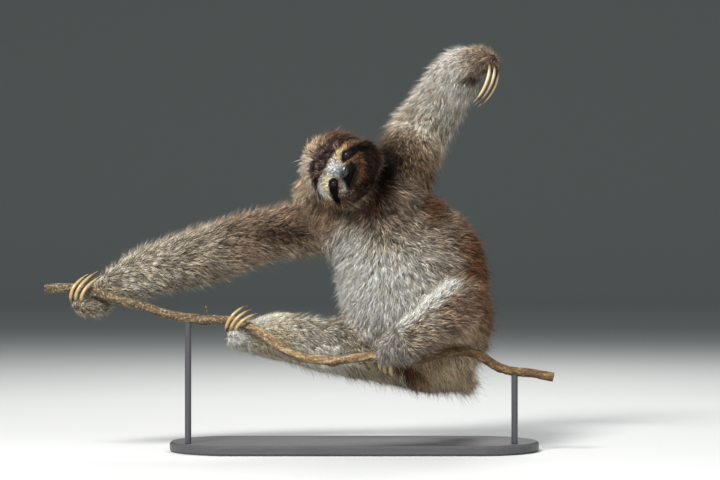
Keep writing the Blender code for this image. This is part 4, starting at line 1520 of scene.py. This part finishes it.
# %% Route of the vine
VINE_RINGS, VINE_SIDES = 420, 28
RING_GROUPS = 38
vine_points = points_of(frame["nodes"]["vine"].data)
vine_points = np.unique(vine_points.round(6), axis=0)
groups = np.array_split(vine_points[np.argsort(vine_points[:, 0])], RING_GROUPS)
route = np.array([group.mean(axis=0) for group in groups])
stem = [np.median(np.linalg.norm((group - group.mean(axis=0))[:, 1:], axis=1)) for group in groups]
vine_thickness = float(np.median(stem))


def end_of(outer, inner, x_end):
    """The route carried on past its outer place, to the cut end of the vine."""
    return [x_end, *(outer + (outer - inner) * 0.3)[1:]]


first = end_of(route[0], route[1], vine_points[:, 0].min())
last = end_of(route[-1], route[-2], vine_points[:, 0].max())
route = np.vstack([first, route[1:-1], last])
print("vine:", len(route), "places on the route, half thickness", round(np.mean(stem) / MM, 2), "mm")

# %% Tube with bark
TWIG_AT, TWIG_TALL, TWIG_BEND = 0.323, 13 * MM, 2.2 * MM
TWIG_LEAN = (-0.16, -0.10, 1.0)
TWIG_THICK, TWIG_TIP, TWIG_STEPS = 2.6 * MM, 0.7 * MM, 5


def tube(name, places, radii, steps, sides):
    """A closed tube along a smooth line through these places, as a mesh."""
    curve = bpy.data.curves.new(name, "CURVE")
    curve.dimensions = "3D"
    spline = curve.splines.new("NURBS")
    spline.points.add(len(places) - 1)
    for place, radius, point in zip(places, radii, spline.points):
        point.co = (*place, 1)
        point.radius = radius
    spline.use_endpoint_u = True
    spline.order_u = min(4, len(places))
    spline.resolution_u = steps
    curve.bevel_depth = 1
    curve.bevel_resolution = sides // 4
    curve.use_fill_caps = True
    obj = bpy.data.objects.new(name, curve)
    bpy.context.scene.collection.objects.link(obj)
    activate(obj)
    bpy.ops.object.convert(target="MESH")
    obj = bpy.context.object
    return on_whole_mesh(obj, (bpy.ops.mesh.remove_doubles, {"threshold": 0.05 * MM}), outwards)


def on_route(x):
    """The middle of the vine at these places along X, as rows of x, y, z."""
    x = np.atleast_1d(x)
    return np.stack([x] + [np.interp(x, route[:, 0], route[:, i]) for i in (1, 2)], 1)


same_radius = np.full(len(route), vine_thickness)
vine = tube("vine_bark", route, same_radius, VINE_RINGS // len(route), VINE_SIDES)
twig_root = on_route(route[0, 0] + TWIG_AT * (route[-1, 0] - route[0, 0]))
rise = np.linspace(0, 1, TWIG_STEPS)[:, None]
twig_places = twig_root + unit(TWIG_LEAN) * rise * (TWIG_TALL + vine_thickness)
twig_places[:, 0] -= (rise[:, 0] ** 2) * TWIG_BEND
twig = tube("twig", twig_places, np.linspace(TWIG_THICK, TWIG_TIP, TWIG_STEPS), 6, 12)
activate(vine)
twig.select_set(True)
bpy.ops.object.join()
print("vine tube:", len(vine.data.polygons), "faces")

# %% Ridges and knobs of the bark
KNOBS = [  # share of the length, turn in radians, height and half length in millimetres
    (0.115, 1.2, 1.6, 9), (0.31, 4.4, 2.0, 10), (0.43, -0.6, 1.4, 8),
    (0.565, 4.9, 2.6, 8), (0.70, 2.0, 1.5, 9), (0.86, 0.9, 1.9, 9),
]
BARK_STRETCH = (90, 260, 260)
RIDGE_HEIGHT, ROUGH_HEIGHT, BARK_SINK = 0.6, 0.85, 0.4
spots = points_of(vine.data)
outward = normals_of(vine.data)
from_centre = spots - on_route(spots[:, 0])
around = np.arctan2(from_centre[:, 2], from_centre[:, 1])
run = spots[:, 0] / MM
cut_end = (np.abs(outward[:, 0]) > 0.8) & ((run < run.min() + 3) | (run > run.max() - 3))
twist = around + run * 0.035
ridges = 0.45 * np.sin(3 * twist) + 0.2 * np.sin(13 * twist)
ridges += 0.35 * np.sin(7 * twist + 1.3 * np.sin(run * 0.05))
rough = np.array([noise.fractal(Vector(p), 0.8, 2.1, 4) for p in spots * BARK_STRETCH])
knobs = np.zeros(len(spots))
knob_tint = np.zeros(len(spots))
for share_along, turn, tall, half_long in KNOBS:
    angle = np.angle(np.exp(1j * (around - turn)))
    bulge = hump(run, run.min() + share_along * np.ptp(run), half_long) * hump(angle, 0, 0.8)
    knobs += tall * bulge
    knob_tint = np.maximum(knob_tint, bulge)
push = RIDGE_HEIGHT * ridges + ROUGH_HEIGHT * rough + knobs - BARK_SINK
on_twig = np.linalg.norm(from_centre[:, 1:], axis=1) > vine_thickness + 1.0 * MM
push = push * MM * np.where(cut_end, 0.1, 1) * np.where(on_twig, 0.2, 1)
spots = spots + outward * push[:, None]
set_points(vine.data, spots)
print("bark moved by up to", (np.abs(push).max() / MM).round(2), "mm")

# %% Colour of the bark
BLEACH_AND_SHADE = {0: 0.58, 0.33: 0.70, 0.43: 1.30, 0.64: 1.26, 0.78: 0.62, 1: 0.84}
LOST_AT_RED_END = [0, 0.16, 0.42]
LICHEN = (0.42, 0.36, 0.25, 1)
ridges, rough, knob_tint = ridges[:, None], rough[:, None], knob_tint[:, None]
bark = paint(116, 92, 61) * (1 + 0.35 * ridges + 0.55 * rough)
pale = 0.55 * smooth_step(0.1, 0.9, ridges + rough)
bark = bark * (1 - pale) + paint(178, 165, 128) * pale
bark = bark * (1 - 0.4 * knob_tint) + paint(92, 66, 44) * 0.4 * knob_tint
along_vine = (run - run.min()) / np.ptp(run)
# The bark is bleached in the middle; on either side it is darkened as painted shade.
bark = bark * np.interp(along_vine, list(BLEACH_AND_SHADE), list(BLEACH_AND_SHADE.values()))[:, None]
bark = bark * (1 - smooth_step(0.66, 0.8, along_vine)[:, None] * LOST_AT_RED_END)
end_rings = np.linalg.norm(spots - on_route(spots[:, 0]), axis=1) / MM * 4.2
fresh = paint(206, 180, 134) * (0.8 + 0.25 * np.cos(end_rings))[:, None]
bark = np.where(cut_end[:, None], fresh, bark)
store_colour(vine.data, "bark", np.clip(bark, 0.01, 0.9))
vine_material, shader = new_material("vine_bark", {"Roughness": 0.82})
grain = {"stretch": (260, 900, 900), "Scale": 1, "Detail": 5}
fibre = on_object(vine_material, "ShaderNodeTexNoise", **grain).outputs["Fac"]
fibres = ramp(vine_material, fibre, (0.30, 0.26, 0.23), (1, 1, 1), (0.35, 0.62))
fibrous = multiplied(vine_material, kept_colour(vine_material, "bark"), fibres)
fleck = on_object(vine_material, "ShaderNodeTexNoise", Scale=330, Detail=3).outputs["Fac"]
flecks = ramp(vine_material, fleck, (0, 0, 0), (0.55, 0.55, 0.55), (0.56, 0.66))
apart = on_object(vine_material, "ShaderNodeSeparateXYZ")
fewer = to_range(vine_material, apart.outputs["X"], (0.09, 0.16), (1.0, 0.15))
lichen = add_node(vine_material, "ShaderNodeMath", operation="MULTIPLY")
link(vine_material, flecks, lichen.inputs[0])
link(vine_material, fewer, lichen.inputs[1])
cover = add_node(vine_material, "ShaderNodeMix", data_type="RGBA")
cover.inputs[7].default_value = LICHEN
link(vine_material, lichen.outputs["Value"], cover.inputs[0])
link(vine_material, fibrous, cover.inputs[6])
link(vine_material, cover.outputs[2], shader.inputs["Base Color"])
fine_surface(vine_material, shader, fibre, 0.9, 0.0010)
activate(vine)
bpy.ops.object.shade_smooth()
vine.data.materials.clear()
vine.data.materials.append(vine_material)
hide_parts("vine")
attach(vine, "root")
print("vine finished:", len(vine.data.vertices), "vertices")

# %% [markdown]
# ## Stand and floor
#
# A museum shows such an animal on a plain board with rods up to the vine. The solids are already right,
# so they stay, and only get better finishes: satin charcoal paint with a faint brush grain on the
# board, and satin black on the rods. The floor gets its paint here too.


# %% Paint for the board and the rods
def painted(name, colour, roughness, grain_scale, grain_depth):
    """Satin paint whose colour, gloss and surface change a little, as brushed paint does."""
    material, shader = new_material(name, {"Roughness": roughness})
    grain = on_object(material, "ShaderNodeTexNoise", stretch=grain_scale, Scale=1, Detail=4)
    grain = grain.outputs["Fac"]
    dark, light = ([c * share for c in colour] for share in (0.82, 1.2))
    link(material, ramp(material, grain, dark, light), shader.inputs["Base Color"])
    gloss = to_range(material, grain, (0, 1), (roughness - 0.06, roughness + 0.08))
    link(material, gloss, shader.inputs["Roughness"])
    fine_surface(material, shader, grain, 0.3, grain_depth)
    return material


FINISHES = {
    "stand_base": painted("charcoal_board", (0.060, 0.060, 0.065), 0.42, (24, 520, 520), 0.0002),
    "stand_rod": painted("black_rod", (0.050, 0.050, 0.055), 0.34, (700, 700, 60), 0.00008),
}
for node in sorted(n for n in frame["nodes"] if n.startswith("stand_")):
    obj = frame["nodes"][node]
    obj.data.materials.clear()
    obj.data.materials.append(FINISHES["stand_rod" if "rod" in node else "stand_base"])
print("finishes:", sorted(FINISHES))

# %% Paint for the floor
# The floor is painted as a pool of light: pale round the stand and darker with distance.
FLOOR_FADE = (1.2, 5.0)
FLOOR_NEAR, FLOOR_FAR = (0.52, 0.53, 0.53), (0.20, 0.22, 0.21)
floor_material, shader = new_material("pale_floor", {"Roughness": 0.9})
reach = on_object(floor_material, "ShaderNodeVectorMath", operation="LENGTH").outputs["Value"]
fade = to_range(floor_material, reach, FLOOR_FADE, (0, 1))
link(floor_material, ramp(floor_material, fade, FLOOR_NEAR, FLOOR_FAR), shader.inputs["Base Color"])
floor.data.materials.append(floor_material)
print("floor fades from", FLOOR_FADE[0], "to", FLOOR_FADE[1], "metres")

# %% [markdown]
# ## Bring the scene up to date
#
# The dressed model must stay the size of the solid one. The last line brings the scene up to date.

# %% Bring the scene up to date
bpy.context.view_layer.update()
